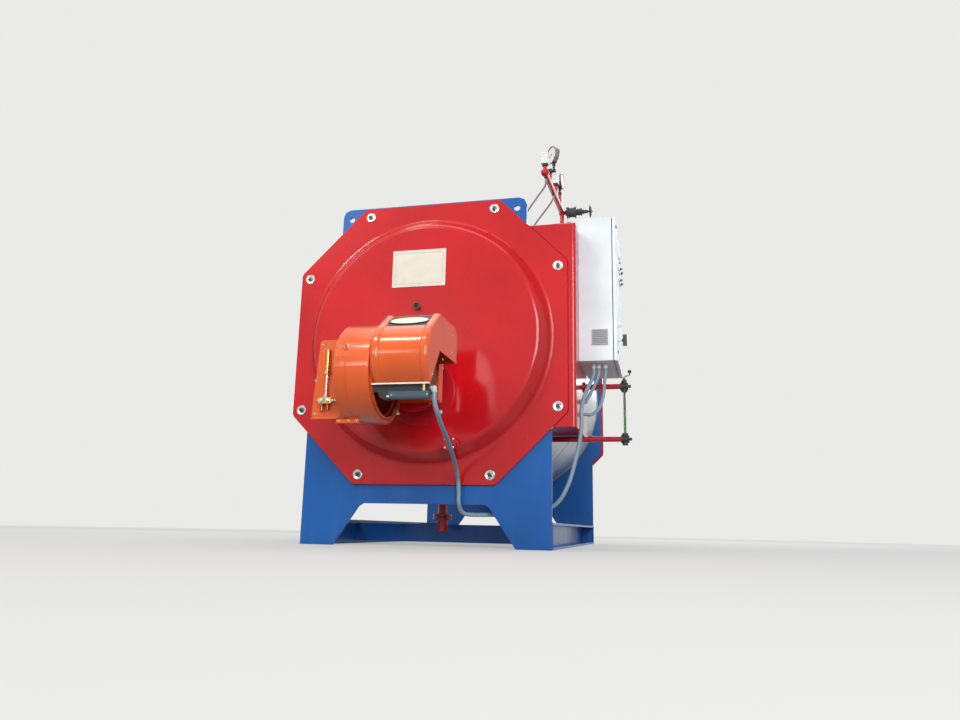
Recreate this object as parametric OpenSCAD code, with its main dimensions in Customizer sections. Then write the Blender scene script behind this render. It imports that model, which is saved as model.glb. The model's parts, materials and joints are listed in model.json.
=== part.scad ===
// Fire-tube steam boiler on two frame plates, with front door, burner, side
// housing, control cabinet, instrument manifold and level gauge.
// Units are millimetres, +Z up, the front door faces -Y.

/* [Boiler body] */
// distance from the front face of the door to the rear face of the rear cover
body_len = 2780; // [2000:10:4200]
// height of the boiler axis above the floor
axis_z = 1295; // [1100:5:1700]
// outer radius of the pressure shell
shell_r = 780; // [650:5:800]
// thickness of the insulation with its sheet jacket
lagging_t = 75; // [50:5:100]
// wall of the pressure shell
shell_t = 12; // [8:1:20]
// raised height of the dished part of both end covers
dish_h = 90; // [60:5:130]
// outer radius of the dish, where it meets the flat plate
dish_r = 812; // [760:2:830]
// width of the sloping knuckle of the dish
knuckle_w = 96; // [60:2:140]

/* [End plates] */
// width of the eight-sided door
door_w = 1800; // [1600:10:2000]
// height of the eight-sided door
door_h = 1840; // [1600:10:2000]
// corner cut of the door
door_cut = 440; // [350:5:520]
// thickness of the door plate
door_t = 22; // [15:1:30]
// corner radius of the door
door_round = 45; // [20:5:80]
// radius of the bright bolt washers
washer_r = 32; // [24:1:40]

/* [Frame] */
// thickness of the two frame plates
frame_t = 20; // [15:1:30]
// half width of the legs at the outside
leg_out = 800; // [740:5:860]
// width of one leg at the floor
leg_w = 216; // [160:2:260]
// clear height of the arch between the legs
arch_h = 258; // [200:2:320]
// half width of the arch at its top
arch_top = 400; // [300:5:450]
// half width of the upper tab
tab_half = 635; // [560:5:700]
// height of the upper tab
tab_top = 2230; // [2225:5:2400]
// radius of the lifting holes
eye_r = 20; // [15:1:30]
// half distance between the two lifting holes
eye_x = 572; // [500:2:600]
// height of the skid rails
rail_h = 160; // [120:5:220]

/* [Side housing] */
// right face of the housing, measured from the boiler axis
house_x = 950; // [900:5:1000]
// depth of the housing
house_d = 600; // [450:10:800]
// height of the underside of the housing
house_z0 = 724; // [600:2:900]
// height of the top of the housing
house_z1 = 2030; // [1900:5:2100]
// setback of the housing front behind the door face
house_set = 4; // [2:1:20]
// radius of the folded edges of the housing
fold_r = 20; // [8:1:30]

/* [Cabinet] */
// outward depth of the cabinet with its door
cab_d = 240; // [180:5:300]
// width of the cabinet door
cab_w = 600; // [500:10:700]
// height of the cabinet
cab_h = 954; // [800:2:1100]
// height of the underside of the cabinet
cab_z = 1162; // [1000:2:1300]
// front edge of the cabinet behind the front door face
cab_y = 180; // [100:5:300]
// thickness of the cabinet door
cab_door_t = 22; // [16:1:30]
// radius of the flexible conduits
conduit_r = 13; // [9:1:18]

/* [Instruments] */
// length of the instrument manifold
header_len = 700; // [550:10:850]
// height of the manifold axis
header_z = 2345; // [2280:5:2450]
// radius of the manifold pipe
header_r = 18; // [14:1:24]
// small turn of the manifold in plan, in degrees
header_turn = 2; // [0:0.5:6]
// radius of the two pressure gauges
dial_r = 58; // [40:1:70]
// radius of the valve handwheel
wheel_r = 44; // [35:1:60]
// height of the sight glass of the level gauge
glass_h = 300; // [220:5:340]

/* [Burner] */
// height of the blast tube axis
burner_z = 940; // [900:5:1000]
// distance of the fan axis in front of the door face
fan_y = 612; // [580:2:660]
// height of the fan axis
fan_z = 940; // [900:5:980]
// smallest radius of the fan casing
volute_r = 266; // [255:1:280]
// growth of the casing radius for each quarter turn
volute_step = 8; // [4:1:12]
// width of the fan casing
volute_w = 195; // [160:5:220]
// outer radius of the fan wheel
fan_r = 245; // [220:1:248]
// number of fan blades
blade_count = 22; // [14:1:30]
// width of the motor hood
hood_w = 314; // [260:2:340]
// radius of the rounded front of the hood
hood_r = 200; // [180:5:220]
// height of the lower front edge of the hood
hood_z0 = 850; // [830:2:880]
// rise of the lower edge of the hood towards the back
hood_rise = 205; // [150:5:220]
// slope of the flat facet on top of the hood, in degrees
hood_tilt = 35; // [25:1:45]
// length of that facet
hood_ramp = 165; // [120:5:180]
// width of the two raised beads of the hood
bead_w = 42; // [24:1:50]
// height of these beads
bead_h = 8; // [3:1:10]

/* [Hidden] */
$fn = 72;
gap = 0.3;
run_gap = 0.08;
jacket_r = shell_r + lagging_t;
door_z0 = axis_z - door_h / 2;
door_z1 = axis_z + door_h / 2;
frame_y = door_t;
back_y = body_len - door_t - frame_t;
jacket_y0 = frame_y + frame_t;
jacket_y1 = back_y;
bolt_in = 60;
nozzle_r = 84;
furnace_r = 260;
name_box = [-222, 134, axis_z + 326, axis_z + 573];
sight_x = -44;
sight_z = axis_z + 193;
port_x = 212;
port_z = axis_z - 685;
hatch_r = 230;
hatch_z = axis_z - 360;
flue_z = axis_z + 420;
flue_r = 160;
flue_end = body_len + dish_h + 160;
house_y0 = jacket_y0;
house_y1 = house_y0 + house_d;

// cabinet
cab_x0 = house_x;
cab_x1 = house_x + cab_d;
cab_y1 = cab_y + cab_w;
cab_body_x1 = cab_x1 - cab_door_t - 5;
hinge_x = cab_x1 - 8;
hinge_y = cab_y1 + 12;
hinge_r = 4;
hinge_z = [cab_z + 120, cab_z + cab_h - 120];
handle_z = 1300;
gland_x = [cab_x0 + 84, cab_x0 + 116, cab_x0 + 158];
gland_y = cab_y + 80;
side_gland_y = cab_y + 84;
side_gland_z = [915, 835];

// manifold and stop valve
header_x = 766;
header_y = -100;
header_end = [header_x + header_len * sin(header_turn), header_y + header_len * cos(header_turn)];
wheel_x = 988;
valve_x = 823;
valve_v0 = header_end.x + 24 + gap - valve_x;
stem_x0 = wheel_x - 12 - valve_x;
stem_x1 = wheel_x + 22 - valve_x;
stub_x = 846;
stub_y = 540;
stub_z = 2243;
end_s = 30;
station_s = [220, 430, 600];
tube_s = [62, 330];
dial_z = [150 + dial_r, 142 + dial_r];

// level gauge
level_y = 460;
level_x = cab_x1 + 24;
level_z1 = 1045;
level_z0 = level_z1 - glass_h - 45;
lever_x = level_x + 36;
lever_z = level_z1 + 86;

// burner
plate_y = -dish_h;
plate_t = 18;
wall = 6;
volute_x1 = -40;
volute_x0 = volute_x1 - volute_w;
head_y0 = -(fan_y + 95);
head_y1 = -255;
head_z0 = 690;
head_z1 = 1130;
head_block_y = -(fan_y - volute_r) + 12;
hood_x0 = volute_x1 + 14;
hood_x1 = hood_x0 + hood_w;
hood_xm = (hood_x0 + hood_x1) / 2;
hood_y = -(fan_y + 88);
hood_zc = fan_z + 60;
hood_front = hood_y - hood_r;
hood_back = head_block_y;
hood_a0 = 270 - acos((hood_zc - hood_z0) / hood_r);
hood_a1 = 90 + hood_tilt;
hood_low = [hood_y + hood_r * cos(hood_a0), hood_z0];
hood_break = [hood_y + hood_r * cos(hood_a1), hood_zc + hood_r * sin(hood_a1)];
hood_top = hood_break + hood_ramp * [cos(hood_tilt), sin(hood_tilt)];
hood_edge = [155, hood_rise];
// cross section of a bead: across the hood, then outwards
bead_shape = [[0, -3], [0, 0], [bead_w * 0.12, bead_h * 0.65], [bead_w * 0.3, bead_h],
  [bead_w * 0.7, bead_h], [bead_w * 0.88, bead_h * 0.65], [bead_w, 0], [bead_w, -3]];
tray_z0 = 806;
tray_x1 = hood_x1 - 6;
elbow_x = hood_x1 + 12;
elbow_y = -800;
elbow_z = 828;

// flue flange, steam flange and drain
steam_y = 1500;
steam_top = 2330;
drain_y = 480;
drain_r = 30;

// routes of tubes and conduits, as chosen points
tube_a = [[header_x + 2, header_y + tube_s[0], header_z - 27.5],
  [header_x + 2, header_y + tube_s[0], header_z - 34],
  [header_x + 2, header_y + tube_s[0], header_z - 40],
  [758, 0, 2285], [700, 62, 2245], [610, 150, 2175], [540, 220, 2105], [520, 240, 1992]];
tube_b = [[header_x + 12, header_y + tube_s[1], header_z - 27.5],
  [header_x + 12, header_y + tube_s[1], header_z - 34],
  [header_x + 12, header_y + tube_s[1], header_z - 40],
  [760, 255, 2280], [700, 320, 2240], [610, 400, 2170], [540, 460, 2095], [520, 480, 1992]];
conduit_b = [[gland_x[1], gland_y, cab_z - 34 - gap], [gland_x[1], gland_y, cab_z - 47],
  [gland_x[1], gland_y, cab_z - 60], [1052, 261, 1050], [1018, 262, 980], [992, 263, 932],
  [cab_x0 + 34, side_gland_y, side_gland_z[0]], [cab_x0 + 25, side_gland_y, side_gland_z[0]],
  [cab_x0 + 14 + gap, side_gland_y, side_gland_z[0]]];
conduit_c = [[gland_x[2], gland_y, cab_z - 34 - gap], [gland_x[2], gland_y, cab_z - 47],
  [gland_x[2], gland_y, cab_z - 60], [1100, 262, 1030], [1090, 264, 945], [1062, 264, 870],
  [1020, 264, 834], [cab_x0 + 38, side_gland_y, side_gland_z[1]],
  [cab_x0 + 27, side_gland_y, side_gland_z[1]], [cab_x0 + 14 + gap, side_gland_y, side_gland_z[1]]];
burner_route = [[elbow_x, elbow_y, elbow_z - 22 - gap], [elbow_x, elbow_y, elbow_z - 36],
  [elbow_x, elbow_y, elbow_z - 50], [304, -784, 735], [307, -750, 702],
  [301, -660, 658], [282, -420, 577], [250, -160, 485], [240, -46, 410], [240, -22, 330],
  [242, -14, 256], [262, 40, 205], [380, 96, 200], [640, 112, 212], [800, 116, 262], [884, 110, 380],
  [938, 105, 560], [968, 105, 720], [970, 116, 850], [990, 170, 955], [1020, 238, 1045],
  [gland_x[0], gland_y, 1090], [gland_x[0], gland_y, cab_z - 50], [gland_x[0], gland_y, cab_z - 34 - gap]];
lever_route = [[level_x, level_y, level_z1 + 52 + gap], [level_x, level_y, level_z1 + 57],
  [level_x, level_y, level_z1 + 61], [level_x + 12, level_y, level_z1 + 68],
  [level_x + 27, level_y, level_z1 + 72], [lever_x, level_y, level_z1 + 79],
  [lever_x, level_y, lever_z - gap]];

// extent of the whole part, used to centre it
ext_x0 = -door_w / 2;
ext_x1 = lever_x + 12;
ext_y0 = hood_front - bead_h;
ext_y1 = flue_end;
shift_x = -(ext_x0 + ext_x1) / 2;
shift_y = -(ext_y0 + ext_y1) / 2;

// Helpers

function unit(v) = v / norm(v);

// points of a polygon with every corner replaced by a short arc
function round_corner(a, b, c, r, n) =
  let (u = unit(a - b), v = unit(c - b), half = acos(u * v) / 2,
       d = r / tan(half), m = b + unit(u + v) * r / sin(half),
       p = b + u * d, q = b + v * d,
       a0 = atan2(p.y - m.y, p.x - m.x), a1r = atan2(q.y - m.y, q.x - m.x),
       da = (a1r - a0 > 180) ? a1r - a0 - 360 : (a1r - a0 < -180) ? a1r - a0 + 360 : a1r - a0)
  [for (i = [0:n]) m + r * [cos(a0 + da * i / n), sin(a0 + da * i / n)]];

function round_all(pts, r, n = 4) =
  [for (i = [0:len(pts) - 1])
    for (p = round_corner(pts[(i + len(pts) - 1) % len(pts)], pts[i],
                          pts[(i + 1) % len(pts)], r, n)) p];

function mirror_x(pts) = [for (i = [len(pts) - 1:-1:0]) [-pts[i].x, pts[i].y]];

// smooth curve through hand-chosen points
function curve_pt(a, b, c, d, t) =
  0.5 * (2 * b + (c - a) * t + (2 * a - 5 * b + 4 * c - d) * t * t
         + (3 * b - a - 3 * c + d) * t * t * t);

function curve(p, k) =
  [for (i = [0:len(p) - 2])
    for (j = [0:(i == len(p) - 2 ? k : k - 1)])
      curve_pt(p[max(i - 1, 0)], p[i], p[i + 1], p[min(i + 2, len(p) - 1)], j / k)];

function tangent(p, i) = unit(p[min(i + 1, len(p) - 1)] - p[max(i - 1, 0)]);

function side_vec(t, u) = unit(u - t * (u * t));

function sides(p, u0, i = 0) =
  i == len(p) ? [] :
  let (s = side_vec(tangent(p, i), u0)) concat([s], sides(p, s, i + 1));

// round tube swept along a list of points
module tube_along(p, r, u0, n = 10) {
  s = sides(p, u0);
  pts = [for (i = [0:len(p) - 1])
    let (t = tangent(p, i), v = cross(t, s[i]))
    for (j = [0:n - 1]) p[i] + r * (s[i] * cos(360 * j / n) + v * sin(360 * j / n))];
  last = len(p) - 1;
  faces = concat(
    [[for (j = [0:n - 1]) j]],
    [for (i = [0:last - 1]) for (j = [0:n - 1])
      [i * n + j, (i + 1) * n + j, (i + 1) * n + (j + 1) % n, i * n + (j + 1) % n]],
    [[for (j = [n - 1:-1:0]) last * n + j]]);
  polyhedron(points = pts, faces = faces, convexity = 6);
}

module box(x0, x1, y0, y1, z0, z1) {
  translate([x0, y0, z0])
    cube([x1 - x0, y1 - y0, z1 - z0]);
}

module rod_x(r, x0, x1, y, z) {
  translate([x0, y, z])
    rotate([0, 90, 0])
      cylinder(h = x1 - x0, r = r);
}

module rod_y(r, y0, y1, x, z) {
  translate([x, y0, z])
    rotate([-90, 0, 0])
      cylinder(h = y1 - y0, r = r);
}

module rod_z(r, z0, z1, x, y) {
  translate([x, y, z0])
    cylinder(h = z1 - z0, r = r);
}

// flat shape drawn in X and Z, made thick from y0 to y1
module slab_y(y0, y1) {
  translate([0, y1, 0])
    rotate([90, 0, 0])
      linear_extrude(y1 - y0)
        children();
}

// flat shape drawn in Y and Z, made thick from x0 to x1
module slab_x(x0, x1) {
  translate([x0, 0, 0])
    rotate([90, 0, 90])
      linear_extrude(x1 - x0)
        children();
}

// everything is drawn with the door face at y = 0 and moved to the shared origin
module place() {
  translate([shift_x, shift_y, 0])
    children();
}

// Frames and skid

function frame_half() =
  let (lim = door_w / 2 + door_h / 2 - door_cut - 28)
  [[leg_out - leg_w, 0],
   [leg_out, 0],
   [leg_out, axis_z - (lim - leg_out)],
   [door_w / 2 - 20, axis_z - (lim - door_w / 2 + 20)],
   [door_w / 2 - 20, axis_z + (lim - door_w / 2 + 20)],
   [tab_half, axis_z + (lim - tab_half)],
   [tab_half, tab_top - 50],
   [tab_half - 15, tab_top - 15],
   [tab_half - 50, tab_top]];

function arch_half() = [[leg_out - leg_w, 0], [arch_top + 42, arch_h - 52],
  [arch_top + 22, arch_h - 20], [arch_top - 8, arch_h]];

module frame_plate(y0) {
  half = frame_half();
  arch = arch_half();
  outline = concat(half, mirror_x(half),
    [for (i = [1:len(arch) - 1]) [-arch[i].x, arch[i].y]],
    [for (i = [len(arch) - 1:-1:1]) arch[i]]);
  difference() {
    slab_y(y0, y0 + frame_t)
      polygon(outline);
    rod_y(shell_r + gap, y0 - 1, y0 + frame_t + 1, 0, axis_z);
    for (s = [-1, 1])
      rod_y(eye_r, y0 - 1, y0 + frame_t + 1, s * eye_x, tab_top - 72);
  }
}

module front_frame() {
  color([0.05, 0.35, 0.75])
    place()
      frame_plate(frame_y);
}

module rear_frame() {
  color([0.05, 0.35, 0.75])
    place()
      frame_plate(back_y);
}

module rail(s) {
  x0 = s * (leg_out - 60) - 60;
  difference() {
    box(x0, x0 + 120, jacket_y0, jacket_y1, 0, rail_h);
    box(s > 0 ? x0 + 12 : x0 - 1, s > 0 ? x0 + 121 : x0 + 108,
        jacket_y0 - 1, jacket_y1 + 1, 14, rail_h - 14);
  }
}

module skid_rails() {
  inner = leg_out - 120;
  color([0.05, 0.33, 0.7])
    place() {
      rail(-1);
      rail(1);
      for (y = [0.25, 0.75])
        box(-inner, inner, jacket_y0 + (jacket_y1 - jacket_y0) * y - 50,
            jacket_y0 + (jacket_y1 - jacket_y0) * y + 50, 20, rail_h - 20);
    }
}

// End covers

// outline of the door, grown by g on every side
function door_outline(g = 0) =
  let (w = door_w / 2 + g, h = door_h / 2 + g, c = door_cut + (2 - sqrt(2)) * g)
  round_all([[w, h - c], [w - c, h], [c - w, h], [-w, h - c],
             [-w, c - h], [c - w, -h], [w - c, -h], [w, c - h]], door_round);

// half profile of the dish: radius along X, height along Y
function dish_profile(d) =
  let (r0 = dish_r - d, r1 = dish_r - knuckle_w - d, h = dish_h - d,
       rb = 26, rt = 40)
  concat([[0, -1], [r0, -1], [r0, 0]],
    [for (a = [0:15:45]) [r0 - rb * sin(a), rb * (1 - cos(a)) + 0.01]],
    [for (a = [45:-9:0]) [r1 + rt * sin(a), h - rt * (1 - cos(a))]],
    [[0, h]]);

module dish(d) {
  rotate_extrude($fn = 96)
    polygon(dish_profile(d));
}

module end_cover() {
  difference() {
    union() {
      slab_y(0, door_t)
        polygon([for (p = door_outline()) [p.x, p.y + axis_z]]);
      translate([0, 0, axis_z])
        rotate([90, 0, 0])
          dish(0);
    }
    translate([0, 0.5, axis_z])
      rotate([90, 0, 0])
        dish(12);
    rod_y(dish_r - 13, 0, door_t + 1, 0, axis_z);
  }
}

module front_door() {
  color([0.78, 0.1, 0.12])
    place()
      end_cover();
}

module rear_cover() {
  color([0.78, 0.1, 0.12])
    place()
      difference() {
        translate([0, body_len, 0])
          mirror([0, 1, 0])
            end_cover();
        rod_y(flue_r - 6, body_len, body_len + dish_h + 20, 0, flue_z);
      }
}

function bolt_spots() =
  let (w = door_w / 2 - bolt_in, h = door_h / 2 - bolt_in, c = door_cut)
  [for (sx = [-1, 1]) for (sz = [-1, 1])
    for (p = [[w - c + 26, h], [w, h - c + 26]]) [sx * p.x, sz * p.y]];

module dish_washer() {
  rotate_extrude()
    polygon([[0, 0], [washer_r, 0], [washer_r, 3], [washer_r - 3, 6], [15, 3.4], [0, 3.4]]);
  translate([0, 0, 3])
    cylinder(h = 11, r = 13, $fn = 6);
  cylinder(h = 18, r = 7);
}

module door_bolts() {
  color([0.8, 0.8, 0.8])
    place()
      for (p = bolt_spots()) {
        translate([p.x, 0, axis_z + p.y])
          rotate([90, 0, 0])
            dish_washer();
        translate([p.x, body_len, axis_z + p.y])
          rotate([-90, 0, 0])
            dish_washer();
      }
}

module blank_plates() {
  color([0.9, 0.9, 0.85])
    place() {
      box(name_box[0], name_box[1], plate_y - 3, plate_y, name_box[2], name_box[3]);
      on_ramp(-1)
        scale([2.16, 1, 1])
          cylinder(h = 4, r = 50);
    }
}

module door_fittings() {
  color([0.6, 0.05, 0.08])
    place() {
      rod_y(24, plate_y - 26, plate_y, sight_x, sight_z);
      rod_y(34, plate_y - 70, plate_y, port_x, port_z);
      rod_y(45, plate_y - 84, plate_y - 70, port_x, port_z);
    }
}

// Shell

module shell_drum() {
  color([0.35, 0.36, 0.38])
    place()
      difference() {
        rod_y(shell_r, door_t, body_len - door_t, 0, axis_z);
        rod_y(shell_r - shell_t, door_t - 1, body_len - door_t + 1, 0, axis_z);
      }
}

module tube_plates() {
  color([0.35, 0.36, 0.38])
    place()
      for (y = [door_t + 120, body_len - door_t - 140])
        difference() {
          rod_y(shell_r - shell_t - gap, y, y + 20, 0, axis_z);
          rod_y(furnace_r, y - 1, y + 21, 0, burner_z);
        }
}

module jacket() {
  color([0.7, 0.72, 0.74])
    place()
      difference() {
        rod_y(jacket_r, jacket_y0, jacket_y1, 0, axis_z, $fn = 120);
        rod_y(shell_r + gap, jacket_y0 - 1, jacket_y1 + 1, 0, axis_z);
        rod_z(nozzle_r + gap, axis_z + shell_r - 120, steam_top, 0, steam_y);
        rod_z(drain_r + 1, axis_z - jacket_r - 20, axis_z - shell_r + 20, 0, drain_y);
      }
}

module jacket_bands() {
  n = 3;
  color([0.75, 0.76, 0.78])
    place()
      for (i = [0:n - 1]) {
        y = house_y1 + 60 + i * (jacket_y1 - house_y1 - 200) / (n - 1);
        difference() {
          rod_y(jacket_r + 3, y, y + 40, 0, axis_z, $fn = 120);
          rod_y(jacket_r + gap, y - 1, y + 41, 0, axis_z, $fn = 120);
        }
      }
}

module flue_outlet() {
  y0 = body_len + dish_h;
  color([0.3, 0.31, 0.33])
    place()
      difference() {
        union() {
          rod_y(flue_r, y0, flue_end, 0, flue_z);
          rod_y(flue_r + 45, y0, y0 + 12, 0, flue_z);
          rod_y(flue_r + 45, flue_end - 12, flue_end, 0, flue_z);
        }
        rod_y(flue_r - 6, y0 - 1, flue_end + 1, 0, flue_z);
        for (a = [0:45:315])
          rod_y(7, flue_end - 13, flue_end + 1,
                (flue_r + 25) * cos(a + 22.5), flue_z + (flue_r + 25) * sin(a + 22.5));
      }
}

module rear_hatch() {
  y0 = body_len + dish_h;
  color([0.75, 0.1, 0.12])
    place() {
      rod_y(hatch_r, y0, y0 + 14, 0, hatch_z);
      for (a = [0:60:300])
        rod_y(12, y0 + 14, y0 + 26, (hatch_r - 30) * cos(a), hatch_z + (hatch_r - 30) * sin(a));
      box(-90, 90, y0 + 14, y0 + 30, hatch_z - 12, hatch_z + 12);
    }
}

function house_outline(x) = [[x, house_z0], [house_x, house_z0], [house_x, house_z1 - 12],
  [house_x - 3.5, house_z1 - 3.5], [house_x - 12, house_z1], [x, house_z1]];

// what a folded edge leaves of a square one, along Z and along X
module fold_cut() {
  difference() {
    box(house_x - fold_r, house_x + 1, house_set - 1, house_set + fold_r, house_z0 - 1, house_z1 + 1);
    rod_z(fold_r, house_z0 - 2, house_z1 + 2, house_x - fold_r, house_set + fold_r);
  }
  difference() {
    box(600, house_x + 1, house_set - 1, house_set + fold_r, house_z1 - fold_r, house_z1 + 1);
    rod_x(fold_r, 599, house_x + 2, house_set + fold_r, house_z1 - fold_r);
  }
}

module side_housing() {
  color([0.78, 0.1, 0.12])
    place()
      difference() {
        union() {
          slab_y(house_y0, house_y1)
            polygon(house_outline(540));
          difference() {
            slab_y(house_set, house_y0)
              polygon(house_outline(tab_half + 10));
            slab_y(house_set - 1, house_y0)
              translate([0, axis_z])
                polygon(door_outline(3));
          }
        }
        rod_y(jacket_r + gap, house_y0 - 1, house_y1 + 1, 0, axis_z, $fn = 120);
        fold_cut();
      }
}

module steam_outlet() {
  z0 = axis_z + shell_r + gap;
  color([0.75, 0.1, 0.12])
    place()
      difference() {
        union() {
          rod_z(nozzle_r, z0, steam_top, 0, steam_y);
          rod_z(142, steam_top - 22, steam_top, 0, steam_y);
        }
        rod_z(75, z0 - 1, steam_top + 1, 0, steam_y);
        for (a = [22.5:45:360])
          rod_z(11, steam_top - 23, steam_top + 1, 120 * cos(a), steam_y + 120 * sin(a));
      }
}

module drain_valve() {
  color([0.7, 0.1, 0.12])
    place() {
      rod_z(drain_r, 200, axis_z - shell_r - gap, 0, drain_y);
      rod_z(62, 190, 206, 0, drain_y);
      rod_z(40, 180, 195, 0, drain_y);
      rod_z(62, 168, 184, 0, drain_y);
      rod_z(36, 96, 175, 0, drain_y);
    }
}

// Instruments on the manifold

module on_header(s) {
  translate([header_x, header_y, header_z])
    rotate([0, 0, -header_turn])
      translate([0, s, 0])
        children();
}

module manifold() {
  color([0.75, 0.08, 0.12])
    place() {
      on_header(0) {
        rod_y(header_r, end_s, header_len, 0, 0);
        translate([0, end_s, 0])
          sphere(r = 27, $fn = 32);
        rod_z(12, 0, 42, 0, end_s);
        rod_z(10, 0, 78, 0, station_s[0]);
        rod_z(12, 0, 88, 0, station_s[1]);
        rod_z(11, 0, 96, 0, station_s[2]);
      }
      rod_z(header_r - 3, house_z1, header_z, header_end.x, header_end.y);
      rod_z(32, house_z1, house_z1 + 12, header_end.x, header_end.y);
      translate([header_end.x, header_end.y, header_z])
        sphere(r = 24, $fn = 32);
      rod_z(12, house_z1, stub_z, stub_x, stub_y);
    }
}

module gauge_cocks() {
  color([0.06, 0.07, 0.08])
    place()
      on_header(0) {
        rod_z(17, 42, 56, 0, end_s);
        rod_x(19, -13, 13, station_s[0], 97 + run_gap);
        rod_x(9, 13, 36, station_s[0], 97);
        rod_z(8, 97, dial_z[0] - dial_r, 24, station_s[0]);
        rod_z(16, 88, 104, 0, station_s[1]);
        rod_z(12, 96, 118, 0, station_s[2]);
        rod_z(6, 118, dial_z[1] - dial_r, 0, station_s[2]);
        for (s = tube_s)
          rod_z(9, -27, -header_r - gap, 0, s);
      }
}

module pressure_switches() {
  color([0.92, 0.93, 0.92])
    place()
      on_header(0) {
        box(-23, 23, end_s - 22, end_s + 22, 56, 130);
        box(-19, 19, station_s[1] - 18, station_s[1] + 18, 104, 174);
      }
    place()
      translate([stub_x, stub_y, stub_z])
        rotate_extrude()
          polygon([[0, 0], [15, 0], [15, 14], [13, 23], [8, 29], [0, 31]]);
}

module dial() {
  rotate_extrude()
    polygon([[0, 0], [dial_r - 6, 0], [dial_r, 5], [dial_r, 32], [dial_r + 3, 32],
             [dial_r + 3, 38], [dial_r - 3, 38], [dial_r - 3, 35], [0, 35]]);
}

module pressure_gauges() {
  color([0.6, 0.5, 0.35])
    place()
      on_header(0) {
        translate([24, station_s[0], dial_z[0]])
          rotate([0, 0, -50])
            rotate([90, 0, 0])
              translate([0, 0, -16])
                dial();
        translate([0, station_s[2], dial_z[1]])
          rotate([0, 0, 90])
            rotate([90, 0, 0])
              translate([0, 0, -16])
                dial();
      }
}

module instrument_tubes() {
  color([0.55, 0.56, 0.58])
    place() {
      for (t = [tube_a, tube_b])
        tube_along(curve(t, 2), 6.5, [0, 1, 0], 8);
      tube_along(curve(lever_route, 2), 5, [0, 1, 0], 8);
    }
}

module stop_valve() {
  color([0.2, 0.23, 0.25])
    place()
      translate([valve_x, header_end.y, header_z])
        rotate([0, 90, 0])
          rotate_extrude()
            polygon([[0, valve_v0], [20, valve_v0], [20, 4], [41, 4], [41, 15], [34, 17], [34, 60],
                     [41, 62], [41, 73], [21, 75], [21, 100], [28, 101], [28, 111], [14, 114],
                     [12, stem_x0], [6, stem_x0], [6, stem_x1], [0, stem_x1]]);
}

module valve_handwheel() {
  color([0.15, 0.05, 0.05])
    place()
      translate([wheel_x, header_end.y, header_z])
        rotate([0, 90, 0])
          difference() {
            union() {
              translate([0, 0, 5])
                rotate_extrude()
                  translate([wheel_r - 6, 0])
                    circle(r = 6, $fn = 20);
              cylinder(h = 14, r = 13);
              for (a = [0:72:288])
                rotate([0, 0, a])
                  translate([8, -4, 2])
                    cube([wheel_r - 12, 8, 6]);
            }
            translate([0, 0, -1])
              cylinder(h = 16, r = 6 + run_gap);
          }
}

// Control cabinet

module cabinet_body() {
  t = 3;
  color([0.85, 0.88, 0.88])
    place() {
      difference() {
        box(cab_x0, cab_body_x1, cab_y, cab_y1, cab_z, cab_z + cab_h);
        box(cab_x0 + t, cab_body_x1 + 1, cab_y + 25, cab_y1 - 25, cab_z + 25, cab_z + cab_h - 25);
        box(cab_x0 + t, cab_body_x1 - 20, cab_y + t, cab_y1 - t, cab_z + t, cab_z + cab_h - t);
        for (x = gland_x)
          rod_z(9, cab_z - 1, cab_z + t + 1, x, gland_y);
      }
      for (z = hinge_z) {
        box(hinge_x - 62, hinge_x - 20, cab_y1, cab_y1 + 3, z - 30, z + 30);
        for (dz = [-30, 18]) {
          box(hinge_x - 40, hinge_x, hinge_y - 4, hinge_y + 4, z + dz, z + dz + 12);
          box(hinge_x - 40, hinge_x - 24, cab_y1, hinge_y + 4, z + dz, z + dz + 12);
        }
        rod_z(hinge_r, z - 30, z + 30, hinge_x, hinge_y);
      }
    }
}

module cabinet_door() {
  color([0.85, 0.88, 0.88])
    place() {
      difference() {
        box(cab_x1 - cab_door_t, cab_x1, cab_y, cab_y1, cab_z, cab_z + cab_h);
        box(cab_x1 - cab_door_t - 1, cab_x1 - 3, cab_y + 4, cab_y1 - 4, cab_z + 4, cab_z + cab_h - 4);
      }
      for (z = hinge_z)
        difference() {
          union() {
            rod_z(8, z - 16, z + 16, hinge_x, hinge_y);
            box(hinge_x - 4, hinge_x + 4, cab_y1 - 3, hinge_y - 1, z - 16, z + 16);
          }
          rod_z(hinge_r + run_gap, z - 17, z + 17, hinge_x, hinge_y);
        }
      rod_x(24, cab_x1 - 1, cab_x1 + 4, cab_y + 50, handle_z);
      rod_x(7, cab_x1, cab_x1 + 32, cab_y + 50, handle_z);
      rod_x(11, cab_x1 - 1, cab_x1 + 3, cab_y + 50, handle_z + 92);
      rod_x(6, cab_x1, cab_x1 + 24, cab_y + 50, handle_z + 92);
      rod_x(11, cab_x1 - 1, cab_x1 + 14, cab_y1 - 70, cab_z + cab_h - 215);
    }
}

module door_controls() {
  color([0.08, 0.08, 0.09])
    place() {
      for (i = [0:2])
        for (j = [0:1])
          rod_x(14, cab_x1, cab_x1 + 8, cab_y1 - 190 - j * 90, cab_z + cab_h - 170 - i * 80);
      for (z = [cab_z + 60, cab_z + cab_h - 60])
        rod_x(11, cab_x1, cab_x1 + 6, cab_y + 30, z);
      box(cab_x1 + 32, cab_x1 + 58, cab_y + 38, cab_y + 62, handle_z - 35, handle_z + 35);
    }
}

module cabinet_grille() {
  x = cab_x0 + 132;
  z = cab_z + 152;
  color([0.6, 0.62, 0.62])
    place() {
      difference() {
        box(x - 50, x + 50, cab_y - 8, cab_y, z - 50, z + 50);
        box(x - 42, x + 42, cab_y - 9, cab_y - 3, z - 42, z + 42);
      }
      for (i = [0:5])
        box(x - 42, x + 42, cab_y - 7, cab_y - 3, z - 38 + i * 14, z - 31 + i * 14);
    }
}

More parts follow.
